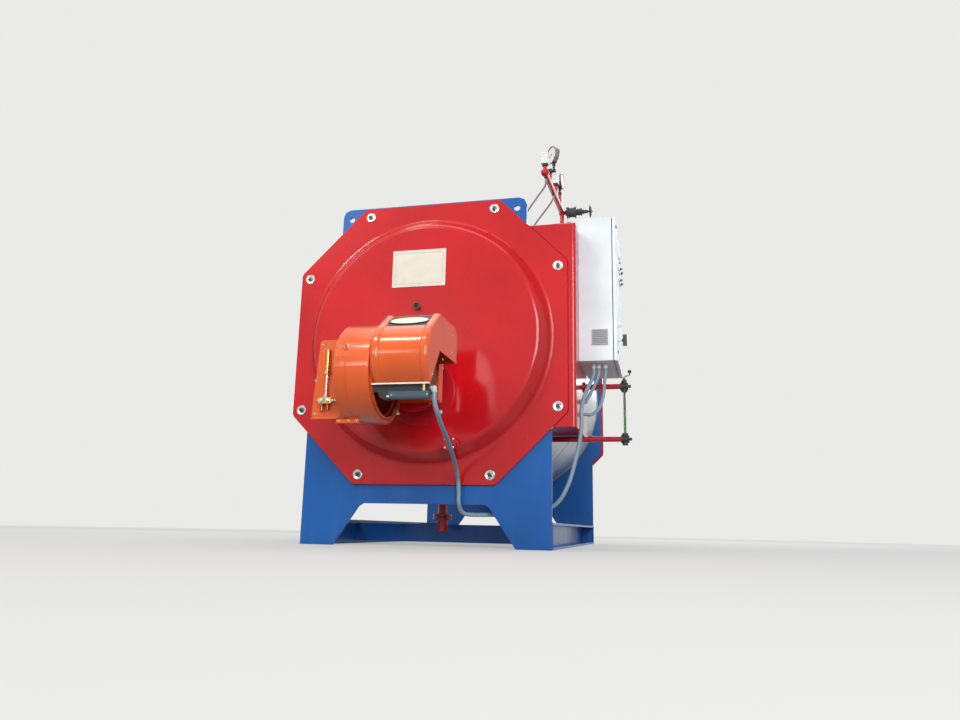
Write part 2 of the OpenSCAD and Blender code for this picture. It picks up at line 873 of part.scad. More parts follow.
module cabinet_glands() {
  color([0.75, 0.77, 0.78])
    place() {
      for (x = gland_x) {
        rod_z(16, cab_z - 12, cab_z, x, gland_y);
        rod_z(13, cab_z - 34, cab_z - 12, x, gland_y);
      }
      for (z = side_gland_z)
        rod_x(15, house_x, house_x + 14, side_gland_y, z);
      rod_x(12, tray_x1, elbow_x, elbow_y, elbow_z);
      translate([elbow_x, elbow_y, elbow_z])
        sphere(r = 14, $fn = 32);
      rod_z(14, elbow_z - 22, elbow_z, elbow_x, elbow_y);
    }
}

module cabinet_conduits() {
  color([0.6, 0.66, 0.7])
    place() {
      tube_along(curve(conduit_b, 2), conduit_r - 2, [0, 1, 0], 10);
      tube_along(curve(conduit_c, 2), conduit_r - 2, [0, 1, 0], 10);
    }
}

module cabinet_gear() {
  x = cab_x0 + 3;
  color([0.75, 0.76, 0.74])
    place() {
      box(x, x + 4, cab_y + 40, cab_y1 - 40, cab_z + 40, cab_z + cab_h - 40);
      for (i = [0:2]) {
        z = cab_z + 180 + i * 230;
        box(x + 4, x + 12, cab_y + 60, cab_y1 - 60, z - 17, z + 17);
        for (j = [0:5 - i])
          box(x + 12, x + 82 - 12 * i, cab_y + 80 + j * 70, cab_y + 130 + j * 70, z - 42, z + 42);
      }
    }
}

// Level gauge

module level_pipes() {
  color([0.7, 0.08, 0.1])
    place()
      difference() {
        union() {
          rod_x(17, house_x, level_x - 26, level_y, level_z1);
          rod_x(36, house_x, house_x + 12, level_y, level_z1);
          rod_x(17, 560, level_x - 26, level_y, level_z0);
          rod_x(22, house_x + 30, house_x + 56, level_y, level_z0);
          rod_x(22, house_x + 60, house_x + 86, level_y, level_z1);
        }
        rod_y(jacket_r + gap, 0, 700, 0, axis_z, $fn = 120);
      }
}

module level_cocks() {
  color([0.07, 0.07, 0.08])
    place()
      for (z = [level_z0, level_z1]) {
        rod_x(24, level_x - 26, level_x + 26, level_y, z);
        rod_x(10, level_x + 26, level_x + 42, level_y, z);
        rod_z(16, z - 38, z + 38, level_x, level_y);
        if (z > level_z0)
          rod_z(10, z + 38, z + 52, level_x, level_y);
      }
    place()
      translate([lever_x, level_y, lever_z + 12])
        sphere(r = 12, $fn = 32);
}

module level_glass() {
  color([0.6, 0.85, 0.7])
    place()
      rod_z(9, level_z0 + 38, level_z1 - 38, level_x, level_y);
}

// Burner

module burner_plate() {
  color([0.7, 0.08, 0.1])
    place() {
      rod_y(215, plate_y - plate_t, plate_y, 0, burner_z);
      for (a = [45:90:315])
        rod_y(12, plate_y - plate_t - 12, plate_y, 190 * cos(a), burner_z + 190 * sin(a));
      rod_y(120, head_y1, plate_y - 1, 0, burner_z);
      rod_y(150, head_y1, head_y1 + 22, 0, burner_z);
    }
}

module burner_head() {
  color([0.85, 0.35, 0.18])
    place() {
      difference() {
        intersection() {
          slab_y(head_y0, head_y1)
            polygon(round_all([[volute_x0 - 195, head_z0], [volute_x1 - 35, head_z0],
                               [volute_x1 - 35, head_z1], [volute_x0 - 165, head_z1]], 18, 3));
          slab_x(volute_x0 - 300, volute_x1)
            polygon([[head_y0 - 1, head_z0], [head_y1 + 1, head_z0 + 120],
                     [head_y1 + 1, head_z1 + 1], [head_y0 - 1, head_z1 + 1]]);
        }
        box(volute_x0 - gap, volute_x1 + 1, head_y0 - 1, head_block_y, 600, 1300);
      }
      box(volute_x1 - 40, 185, head_block_y, head_y1, 842, head_z1);
    }
}

// inside or outside of the fan casing: three quarter turns of growing radius,
// and a duct that leads back to the burner head
module volute(inset, w) {
  zt = fan_z + volute_r + 2 * volute_step - inset;
  for (q = [0:2]) {
    r = volute_r + volute_step * q - inset;
    translate([0, -fan_y + (q == 2 ? volute_step : 0), fan_z - (q == 0 ? volute_step : 0)])
      rotate([0, 90, 0])
        rotate([0, 0, -q * 90])
          rotate_extrude(angle = 90.01)
            polygon([[0, 0], [r - 8, 0], [r - 2.5, 2.5], [r, 8], [r, w - 8],
                     [r - 2.5, w - 2.5], [r - 8, w], [0, w]]);
  }
  slab_y(-fan_y + volute_step - 0.01, head_block_y)
    polygon([[0, fan_z - volute_step - 0.01], [0, zt - 8], [2.5, zt - 2.5], [8, zt],
             [w - 8, zt], [w - 2.5, zt - 2.5], [w, zt - 8], [w, fan_z - volute_step - 0.01]]);
}

module burner_scroll() {
  color([0.85, 0.35, 0.18])
    place()
      difference() {
        union() {
          translate([volute_x0, 0, 0])
            volute(0, volute_w);
          rod_x(fan_r + 2, volute_x1 - 1, volute_x1 + 8, -fan_y, fan_z);
        }
        translate([volute_x0 + wall, 0, 0])
          volute(wall, volute_w - 2 * wall);
        rod_x(fan_r - 12, volute_x1 - wall - 1, volute_x1 + 10, -fan_y, fan_z);
      }
}

module fan_wheel() {
  x0 = volute_x0 + wall + 12;
  x1 = volute_x1 - wall - 12;
  color([0.8, 0.3, 0.15])
    place()
      translate([0, -fan_y, fan_z])
        rotate([0, 90, 0]) {
          translate([0, 0, x0])
            cylinder(h = 4, r = fan_r);
          translate([0, 0, x1 - 4])
            difference() {
              cylinder(h = 4, r = fan_r);
              translate([0, 0, -1])
                cylinder(h = 6, r = fan_r - 28);
            }
          for (i = [0:blade_count - 1])
            rotate([0, 0, i * 360 / blade_count])
              translate([fan_r - 15, 0, x0 + 3])
                rotate([0, 0, 40])
                  translate([-14, -1.2, 0])
                    cube([28, 2.4, x1 - x0 - 6]);
          translate([0, 0, x0])
            cylinder(h = 40, r = 32);
          translate([0, 0, x0])
            cylinder(h = hood_x0 + 40 - x0, r = 12);
        }
}

module burner_motor() {
  x0 = hood_x0 + 14;
  color([0.16, 0.17, 0.19])
    place()
      difference() {
        union() {
          rod_x(66, x0, x0 + 190, -fan_y, fan_z);
          rod_x(30, x0 - 8, x0, -fan_y, fan_z);
          rod_x(72, x0 + 8, x0 + 20, -fan_y, fan_z);
          rod_x(72, x0 + 166, x0 + 178, -fan_y, fan_z);
          for (a = [0:30:330])
            translate([x0 + 20, -fan_y, fan_z])
              rotate([a, 0, 0])
                translate([0, -2, 60])
                  cube([146, 4, 12]);
          box(x0 + 30, x0 + 150, -fan_y - 30, head_block_y, fan_z - 78, fan_z - 62);
        }
        rod_x(12 + run_gap, x0 - 9, hood_x0 + 60, -fan_y, fan_z);
      }
}

// frame of the sloping facet on top of the hood, d above its surface
module on_ramp(d) {
  m = (hood_break + hood_top) / 2;
  translate([hood_xm, m.x, m.y])
    rotate([hood_tilt, 0, 0])
      translate([0, 0, d])
        children();
}

// hood without beads: a true cylinder in front of a flat-sided block
module hood_solid() {
  out = [hood_front - 50, hood_zc];
  intersection() {
    rod_x(hood_r, hood_x0, hood_x1, hood_y, hood_zc, $fn = 96);
    slab_x(hood_x0 - 1, hood_x1 + 1)
      polygon([hood_low, [out.x, hood_low.y], [out.x, hood_break.y + 40], hood_break]);
  }
  slab_x(hood_x0, hood_x1)
    polygon([hood_low, hood_break, hood_top, [hood_back - 40, hood_top.y],
             [hood_back, hood_top.y - 40], [hood_back, hood_z0 + hood_rise], hood_low + hood_edge]);
}

// one bead: round the front, then up to just below the top of the facet
module hood_bead(x) {
  translate([x, hood_y, hood_zc])
    rotate([0, 90, 0])
      rotate([0, 0, 90 + hood_a1])
        rotate_extrude(angle = hood_a0 - hood_a1 - 3)
          polygon([for (p = bead_shape) [hood_r + p.y, p.x]]);
  on_ramp(0)
    translate([x - hood_xm, hood_ramp / 2 - 3, 0])
      rotate([90, 0, 0])
        linear_extrude(hood_ramp - 3)
          polygon(bead_shape);
}

module burner_hood() {
  color([0.85, 0.35, 0.18])
    place()
      difference() {
        union() {
          hood_solid();
          hood_bead(hood_x0 + 2);
          hood_bead(hood_x1 - bead_w - 2);
        }
        box(hood_x0 + 4, hood_x1 - 4, hood_low.x + 14, hood_back - 8, hood_z0 - 1, hood_zc + 120);
        on_ramp(-4)
          translate([bead_w + 3 - hood_w / 2, 5 - hood_ramp / 2, 0])
            cube([hood_w - 2 * bead_w - 6, hood_ramp - 10, 30]);
      }
}

module hood_trim() {
  color([0.8, 0.8, 0.78])
    place() {
      box(hood_x0 - 2, hood_x1 + 2, hood_low.x - 26, hood_low.x, hood_z0 - 8, hood_z0);
      rod_y(7, hood_low.x - 28, hood_low.x - 22, 67, 778);
    }
}

// black base under the hood, which follows its lower edge, and the plug beside it
module burner_tray() {
  d = unit(hood_edge);
  n = [d.y, -d.x];
  color([0.05, 0.05, 0.06])
    place() {
      slab_x(hood_x0, tray_x1)
        polygon([[hood_low.x, tray_z0], hood_low + gap * n, hood_low + gap * n + 0.73 * hood_edge,
                 [hood_low.x + 92, tray_z0]]);
      slab_y(hood_low.x - 22, hood_low.x + 28)
        polygon([[8, tray_z0], [20, 776], [38, 764], [66 - gap, 764], [66 - gap, tray_z0]]);
      on_ramp(-4)
        translate([bead_w + 6 - hood_w / 2, 8 - hood_ramp / 2, 0])
          cube([hood_w - 2 * bead_w - 12, hood_ramp - 16, 3]);
    }
}

module terminal_box() {
  color([0.45, 0.52, 0.56])
    place()
      box(66, elbow_x - conduit_r - 3, hood_low.x - 22, hood_low.x + 26, 768, tray_z0);
}

module oil_line() {
  x = volute_x0 - 108;
  y = head_y0 - 14;
  color([0.7, 0.55, 0.3])
    place() {
      rod_z(10, 950, 1070, x, y);
      rod_z(14, 934, 950, x, y);
      rod_z(5, 806, 934, x, y);
      box(x - 36, x + 38, head_y0 - 26, head_y0, 768, 802);
      rod_z(10, 800, 812, x, y);
      rod_z(8, 728, 768, x - 20, y);
      rod_z(8, 736, 768, x + 14, y);
    }
}

module burner_conduit() {
  color([0.6, 0.66, 0.7])
    place()
      tube_along(curve(burner_route, 3), conduit_r, [1, 0, 0], 10);
}

front_frame();
rear_frame();
skid_rails();
front_door();
rear_cover();
door_bolts();
blank_plates();
door_fittings();
shell_drum();
tube_plates();
jacket();
jacket_bands();
flue_outlet();
rear_hatch();
side_housing();
steam_outlet();
drain_valve();
manifold();
gauge_cocks();
pressure_switches();
pressure_gauges();
instrument_tubes();
stop_valve();
valve_handwheel();
cabinet_body();
cabinet_door();
door_controls();
cabinet_grille();
cabinet_glands();
cabinet_conduits();
cabinet_gear();
level_pipes();
level_cocks();
level_glass();
burner_plate();
burner_head();
burner_scroll();
fan_wheel();
burner_motor();
burner_hood();
hood_trim();
burner_tray();
terminal_box();
oil_line();
burner_conduit();
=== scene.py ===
"""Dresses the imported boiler: materials, small fittings, light, floor and camera."""

import json
import math

import bmesh
import bpy
from mathutils import Matrix, Vector


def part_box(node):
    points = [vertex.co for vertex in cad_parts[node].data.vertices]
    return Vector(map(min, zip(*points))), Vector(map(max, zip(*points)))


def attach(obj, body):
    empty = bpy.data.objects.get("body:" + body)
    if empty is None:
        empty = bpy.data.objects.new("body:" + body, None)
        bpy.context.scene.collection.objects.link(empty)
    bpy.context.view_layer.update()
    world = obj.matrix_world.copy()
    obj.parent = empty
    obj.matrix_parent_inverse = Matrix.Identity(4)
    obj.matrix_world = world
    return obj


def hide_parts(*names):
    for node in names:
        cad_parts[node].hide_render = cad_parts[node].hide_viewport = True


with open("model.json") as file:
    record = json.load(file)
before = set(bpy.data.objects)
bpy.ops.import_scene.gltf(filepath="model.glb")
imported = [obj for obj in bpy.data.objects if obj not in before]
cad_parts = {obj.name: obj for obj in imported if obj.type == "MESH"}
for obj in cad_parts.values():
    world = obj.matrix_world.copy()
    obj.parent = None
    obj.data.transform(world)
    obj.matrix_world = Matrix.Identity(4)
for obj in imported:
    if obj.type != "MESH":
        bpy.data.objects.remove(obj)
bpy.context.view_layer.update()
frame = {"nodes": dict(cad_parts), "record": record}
ROOT = "boiler"

# Places

DOOR_THICK = 0.022     # of the flat rim of both doors
DOOR_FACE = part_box("front_frame")[0].y - DOOR_THICK     # y of the front door's flat face
AXIS_X = 0.5 * (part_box("front_door")[0].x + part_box("front_door")[1].x)


def at(x, y, z):
    """A point in metres, measured from the boiler's axis, the door's face and the floor."""
    return Vector((AXIS_X + x, DOOR_FACE + y, z))


def corners(node):
    """Lowest and highest corner of a CAD node, measured as in at()."""
    return [corner - at(0, 0, 0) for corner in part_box(node)]


def center(node):
    low, high = corners(node)
    return 0.5 * (low + high)


# Camera

IMAGE_W = 960          # the photograph's width in pixels
FOCAL_PX = 775.7       # focal length found from the photograph, in its pixels
CAMERA_SIDE = 1.4535   # metres to the right of the boiler's axis
CAMERA_BACK = 4.6152   # metres in front of the door
CAMERA_UP = 0.1196     # metres above the floor
YAW, PITCH, ROLL = 0.2347, 0.2135, 0.021


def add_camera():
    data = bpy.data.cameras.new("camera")
    data.sensor_width = 36.0
    data.sensor_fit = "HORIZONTAL"
    data.lens = FOCAL_PX / IMAGE_W * data.sensor_width
    data.clip_end = 200.0
    cam = bpy.data.objects.new("camera", data)
    bpy.context.collection.objects.link(cam)
    level = math.cos(PITCH)
    forward = Vector((-math.sin(YAW) * level, math.cos(YAW) * level, math.sin(PITCH)))
    right = Vector((math.cos(YAW), math.sin(YAW), 0.0))
    up = right.cross(forward)
    turned_right = math.cos(ROLL) * right + math.sin(ROLL) * up
    turned_up = math.cos(ROLL) * up - math.sin(ROLL) * right
    turn = Matrix((turned_right, turned_up, -forward)).transposed()
    place = at(CAMERA_SIDE, -CAMERA_BACK, CAMERA_UP)
    cam.matrix_world = Matrix.Translation(place) @ turn.to_4x4()
    bpy.context.scene.camera = cam


# Materials

DUST = (0.30, 0.26, 0.23)
SOCKETS = {
    "color": "Base Color", "rough": "Roughness", "metal": "Metallic", "normal": "Normal",
    "coat": "Coat Weight", "coat_rough": "Coat Roughness", "specular": "Specular IOR Level",
    "transmission": "Transmission Weight", "ior": "IOR",
}


class Tree:
    """A short way to write shader nodes."""

    def __init__(self, tree):
        self.tree = tree

    def add(self, kind, **values):
        n = self.tree.nodes.new(kind)
        for key, value in values.items():
            setattr(n, key, value)
        return n

    def link(self, a, b):
        self.tree.links.new(a, b)

    def feed(self, socket, value):
        if isinstance(value, (int, float)):
            socket.default_value = value
        elif isinstance(value, tuple):
            opaque = (1.0,) if len(socket.default_value) == len(value) + 1 else ()
            socket.default_value = value + opaque
        else:
            self.link(value, socket)

    def math(self, operation, a, b=0.0, clamp=False):
        n = self.add("ShaderNodeMath", operation=operation, use_clamp=clamp)
        self.feed(n.inputs[0], a)
        self.feed(n.inputs[1], b)
        return n.outputs[0]

    def blend(self, share, a, b):
        """Shader a, with this share of shader b over it."""
        n = self.add("ShaderNodeMixShader")
        for socket, value in zip(n.inputs, (share, a, b)):
            self.link(value, socket)
        return n.outputs[0]

    def seen_rays(self):
        """1 for camera, glossy and transmission rays, 0 for the rays that only carry light."""
        path = self.add("ShaderNodeLightPath").outputs
        sharp = self.math("MAXIMUM", path["Is Glossy Ray"], path["Is Transmission Ray"])
        return self.math("MAXIMUM", path["Is Camera Ray"], sharp)


class Graph(Tree):
    """A node material, patterned in the object's own coordinates."""

    def __init__(self, name):
        self.mat = bpy.data.materials.new(name)
        self.mat.use_nodes = True
        super().__init__(self.mat.node_tree)
        self.bsdf = self.tree.nodes["Principled BSDF"]
        self.place = self.add("ShaderNodeTexCoord").outputs["Object"]

    def stretch(self, scale):
        n = self.add("ShaderNodeMapping")
        self.link(self.place, n.inputs["Vector"])
        n.inputs["Scale"].default_value = scale
        return n.outputs["Vector"]

    def noise(self, scale, detail=4.0, rough=0.55, vector=None):
        n = self.add("ShaderNodeTexNoise")
        self.link(vector or self.place, n.inputs["Vector"])
        n.inputs["Scale"].default_value = scale
        n.inputs["Detail"].default_value = detail
        n.inputs["Roughness"].default_value = rough
        return n.outputs["Fac"]

    def span(self, value, lo, hi, to_lo=0.0, to_hi=1.0):
        n = self.add("ShaderNodeMapRange")
        self.feed(n.inputs["Value"], value)
        for key, v in (("From Min", lo), ("From Max", hi), ("To Min", to_lo), ("To Max", to_hi)):
            n.inputs[key].default_value = v
        return n.outputs["Result"]

    def mix(self, factor, a, b):
        n = self.add("ShaderNodeMix", data_type="RGBA")
        self.feed(n.inputs[0], factor)
        self.feed(n.inputs[6], a)
        self.feed(n.inputs[7], b)
        return n.outputs[2]

    def height(self):
        n = self.add("ShaderNodeSeparateXYZ")
        self.link(self.place, n.inputs[0])
        return n.outputs["Z"]

    def edge(self, radius):
        """(normal with softened edges, mask that is 1 along the edges)"""
        soft = self.add("ShaderNodeBevel", samples=4)
        soft.inputs["Radius"].default_value = radius
        plain = self.add("ShaderNodeNewGeometry")
        dot = self.add("ShaderNodeVectorMath", operation="DOT_PRODUCT")
        self.link(soft.outputs["Normal"], dot.inputs[0])
        self.link(plain.outputs["Normal"], dot.inputs[1])
        mask = self.span(dot.outputs["Value"], 0.995, 0.90)
        return soft.outputs["Normal"], mask

    def bump(self, height, strength, distance, normal=None):
        n = self.add("ShaderNodeBump")
        n.inputs["Strength"].default_value = strength
        n.inputs["Distance"].default_value = distance
        self.feed(n.inputs["Height"], height)
        if normal is not None:
            self.link(normal, n.inputs["Normal"])
        return n.outputs["Normal"]

    def set(self, **values):
        for key, value in values.items():
            self.feed(self.bsdf.inputs[SOCKETS[key]], value)
        return self.mat


def tone(color, gain):
    return tuple(min(1.0, c * gain) for c in color)


def paint(name, color, rough=0.3, coat=0.35, coat_rough=0.12, peel=0.25, dust=0.10,
          edge_gain=1.5, shine=0.3):
    """Enamel: slow colour drift, fine orange peel, dust towards the floor, lighter edges."""
    g = Graph(name)
    drift = g.span(g.noise(1.7, 3.0), 0.35, 0.65)
    body = g.mix(drift, tone(color, 0.88), tone(color, 1.08))
    normal, mask = g.edge(0.004)
    worn = g.math("MULTIPLY", mask, g.span(g.noise(35.0, 5.0, 0.7), 0.35, 0.7))
    body = g.mix(g.math("MULTIPLY", worn, 0.45), body, tone(color, edge_gain))
    streaks = g.noise(9.0, 5.0, 0.6, g.stretch((1.0, 1.0, 0.16)))
    low = g.span(g.height(), 0.9, 0.0)
    dusty = g.math("MULTIPLY", g.math("ADD", low, 0.05), g.span(streaks, 0.45, 0.8), clamp=True)
    body = g.mix(g.math("MULTIPLY", dusty, dust), body, DUST)
    gloss = g.span(g.noise(6.0, 6.0, 0.65), 0.3, 0.7, rough * 0.93, rough * 1.08)
    gloss = g.math("ADD", gloss, g.math("MULTIPLY", dusty, 0.12))
    bumps = g.bump(g.noise(420.0, 2.0), peel, 0.0006, normal)
    return g.set(color=body, rough=gloss, coat=coat, coat_rough=coat_rough, normal=bumps,
                 specular=shine)


def metal(name, color, rough=0.3, grain=(1.0, 1.0, 1.0), dull=0.2, cloudy=0.25):
    """Bare metal: brushed or cast grain, cloudy reflection and darker spots."""
    g = Graph(name)
    lines = g.noise(160.0, 3.0, 0.6, g.stretch(grain))
    clouds = g.noise(7.0, 5.0, 0.6)
    body = g.mix(g.span(clouds, 0.35, 0.7), tone(color, 1.0 - dull), color)
    normal, _ = g.edge(0.003)
    patches = g.span(clouds, 0.3, 0.7, rough * (1.0 - cloudy), rough * (1.0 + cloudy))
    gloss = g.math("ADD", patches, g.span(lines, 0.3, 0.7, -0.05, 0.08))
    return g.set(color=body, rough=gloss, metal=1.0, normal=g.bump(lines, 0.12, 0.0004, normal))


def plastic(name, color, rough=0.4, grain=0.15):
    """Moulded plastic: fine spark-eroded grain and a little handling shine."""
    g = Graph(name)
    patches = g.noise(18.0, 4.0)
    body = g.mix(g.span(patches, 0.3, 0.7), tone(color, 0.95), tone(color, 1.03))
    normal, _ = g.edge(0.002)
    gloss = g.span(patches, 0.3, 0.7, rough * 0.85, rough * 1.2)
    bumps = g.bump(g.noise(900.0, 2.0), grain, 0.0003, normal)
    return g.set(color=body, rough=gloss, normal=bumps)


def tube_glass(name, color):
    g = Graph(name)
    faint = g.span(g.noise(30.0, 4.0), 0.3, 0.7, 0.03, 0.1)
    return g.set(color=color, rough=faint, transmission=0.85, ior=1.45)


def lamp_lens(name, color):
    g = Graph(name)
    faint = g.span(g.noise(60.0, 3.0), 0.3, 0.7, 0.08, 0.16)
    return g.set(color=color, rough=faint, coat=0.8, coat_rough=0.05)


# How each finish is made, its colour and its options. The first are the record's slots.
SLOTS = {
    "frame_blue": (paint, (0.004, 0.108, 0.41), dict(rough=0.34, coat=0.25)),
    "boiler_red": (paint, (0.56, 0.004, 0.009),
                   dict(rough=0.28, coat=0.55, peel=0.12, dust=0.05, shine=0.2, coat_rough=0.1)),
    "bright_zinc": (metal, (0.74, 0.74, 0.73), dict(rough=0.25)),
    "plate_white": (plastic, (0.72, 0.69, 0.60), dict(rough=0.35)),
    "shell_steel": (metal, (0.30, 0.31, 0.33), dict(rough=0.45)),
    "jacket_sheet": (metal, (0.50, 0.53, 0.56),
                     dict(rough=0.40, grain=(1.0, 0.05, 1.0), dull=0.12, cloudy=0.1)),
    "flue_grey": (paint, (0.12, 0.125, 0.13), dict(rough=0.5, coat=0.0)),
    "pipe_red": (paint, (0.48, 0.006, 0.016), dict(rough=0.33, coat=0.3)),
    "cock_black": (plastic, (0.012, 0.013, 0.014), dict(rough=0.4)),
    "switch_white": (plastic, (0.72, 0.74, 0.72), dict(rough=0.38)),
    "gauge_brass": (metal, (0.30, 0.27, 0.24), dict(rough=0.32)),
    "tube_steel": (plastic, (0.36, 0.36, 0.38), dict(rough=0.35)),
    "valve_grey": (paint, (0.045, 0.06, 0.068), dict(rough=0.45, coat=0.1)),
    "wheel_dark": (paint, (0.05, 0.012, 0.012), dict(rough=0.4, coat=0.2)),
    "cabinet_grey": (paint, (0.80, 0.87, 0.90),
                     dict(rough=0.55, coat=0.0, peel=0.5, dust=0.05, edge_gain=1.1, shine=0.15)),
    "control_black": (plastic, (0.012, 0.012, 0.014), dict(rough=0.3)),
    "grille_grey": (plastic, (0.40, 0.42, 0.42), dict(rough=0.5)),
    "gland_grey": (plastic, (0.62, 0.66, 0.68), dict(rough=0.35)),
    "conduit_grey": (plastic, (0.26, 0.36, 0.44), dict(rough=0.42)),
    "gear_grey": (plastic, (0.42, 0.43, 0.42), dict(rough=0.45)),
    "sight_glass": (tube_glass, (0.62, 0.95, 0.75), {}),
    "burner_orange": (paint, (0.72, 0.098, 0.008), dict(rough=0.22, coat=0.55, dust=0.06)),
    "fan_orange": (paint, (0.70, 0.09, 0.03), dict(rough=0.3, coat=0.3)),
    "motor_dark": (paint, (0.03, 0.032, 0.036), dict(rough=0.45, coat=0.1)),
    "trim_light": (metal, (0.78, 0.78, 0.76), dict(rough=0.35)),
    "tray_black": (plastic, (0.008, 0.008, 0.01), dict(rough=0.35)),
    "box_bluegrey": (paint, (0.055, 0.10, 0.13), dict(rough=0.4, coat=0.1)),
    "oil_brass": (metal, (0.72, 0.50, 0.18), dict(rough=0.28)),
}
EXTRAS = {
    "dark_steel": (metal, (0.10, 0.10, 0.11), dict(rough=0.38)),
    "copper": (metal, (0.42, 0.14, 0.08), dict(rough=0.35)),
    "rubber": (plastic, (0.015, 0.015, 0.016), dict(rough=0.6)),
    "dark_glass": (plastic, (0.01, 0.012, 0.012), dict(rough=0.06, grain=0.02)),
    "plate_line": (plastic, (0.42, 0.42, 0.38), dict(rough=0.4)),
    "dial_white": (plastic, (0.82, 0.83, 0.80), dict(rough=0.12, grain=0.02)),
    "dark_ink": (plastic, (0.02, 0.02, 0.02), dict(rough=0.4)),
    "level_green": (plastic, (0.30, 0.85, 0.12), dict(rough=0.3)),
    "lamp_green": (lamp_lens, (0.02, 0.42, 0.10), {}),
    "lamp_red": (lamp_lens, (0.55, 0.02, 0.015), {}),
}


def make_finishes():
    rows = list(SLOTS.items()) + list(EXTRAS.items())
    return {name: kind("m_" + name, color, **options) for name, (kind, color, options) in rows}


def dress_nodes():
    """Gives every CAD node the finish of its slot."""
    for entry in frame["record"]["subparts"]:
        finish = finishes[entry["material_slot"]]
        node = frame["nodes"][entry["node"]]
        for s in node.material_slots:
            s.material = finish
        if not node.material_slots:
            node.data.materials.append(finish)


# Mesh kit

FACING = {
    "up": Matrix.Identity(4),
    "down": Matrix.Rotation(math.pi, 4, "X"),
    "front": Matrix.Rotation(math.pi / 2, 4, "X"),
    "back": Matrix.Rotation(-math.pi / 2, 4, "X"),
    "right": Matrix.Rotation(math.pi / 2, 4, "Y"),
    "left": Matrix.Rotation(-math.pi / 2, 4, "Y"),
}


def polar(radius, degrees):
    a = math.radians(degrees)
    return radius * math.cos(a), radius * math.sin(a)


def curve(points, parts):
    """Smooth line through given points."""
    line = []
    for i in range(len(points) - 1):
        four = (max(i - 1, 0), i, i + 1, min(i + 2, len(points) - 1))
        a, b, c, d = (Vector(points[k]) for k in four)
        for j in range(parts):
            t = j / parts
            line.append(0.5 * (2 * b + (c - a) * t + (2 * a - 5 * b + 4 * c - d) * t * t
                               + (3 * b - a - 3 * c + d) * t * t * t))
    return line + [Vector(points[-1])]


def even_steps(line, step):
    """The same line with its points about one step apart."""
    total = sum((b - a).length for a, b in zip(line, line[1:]))
    count = max(2, round(total / step))
    spots, walked, i = [], 0.0, 0
    for k in range(count + 1):
        target = total * k / count
        while i < len(line) - 2 and walked + (line[i + 1] - line[i]).length < target:
            walked += (line[i + 1] - line[i]).length
            i += 1
        part = line[i + 1] - line[i]
        spots.append(line[i] + part * min(1.0, (target - walked) / part.length))
    return spots


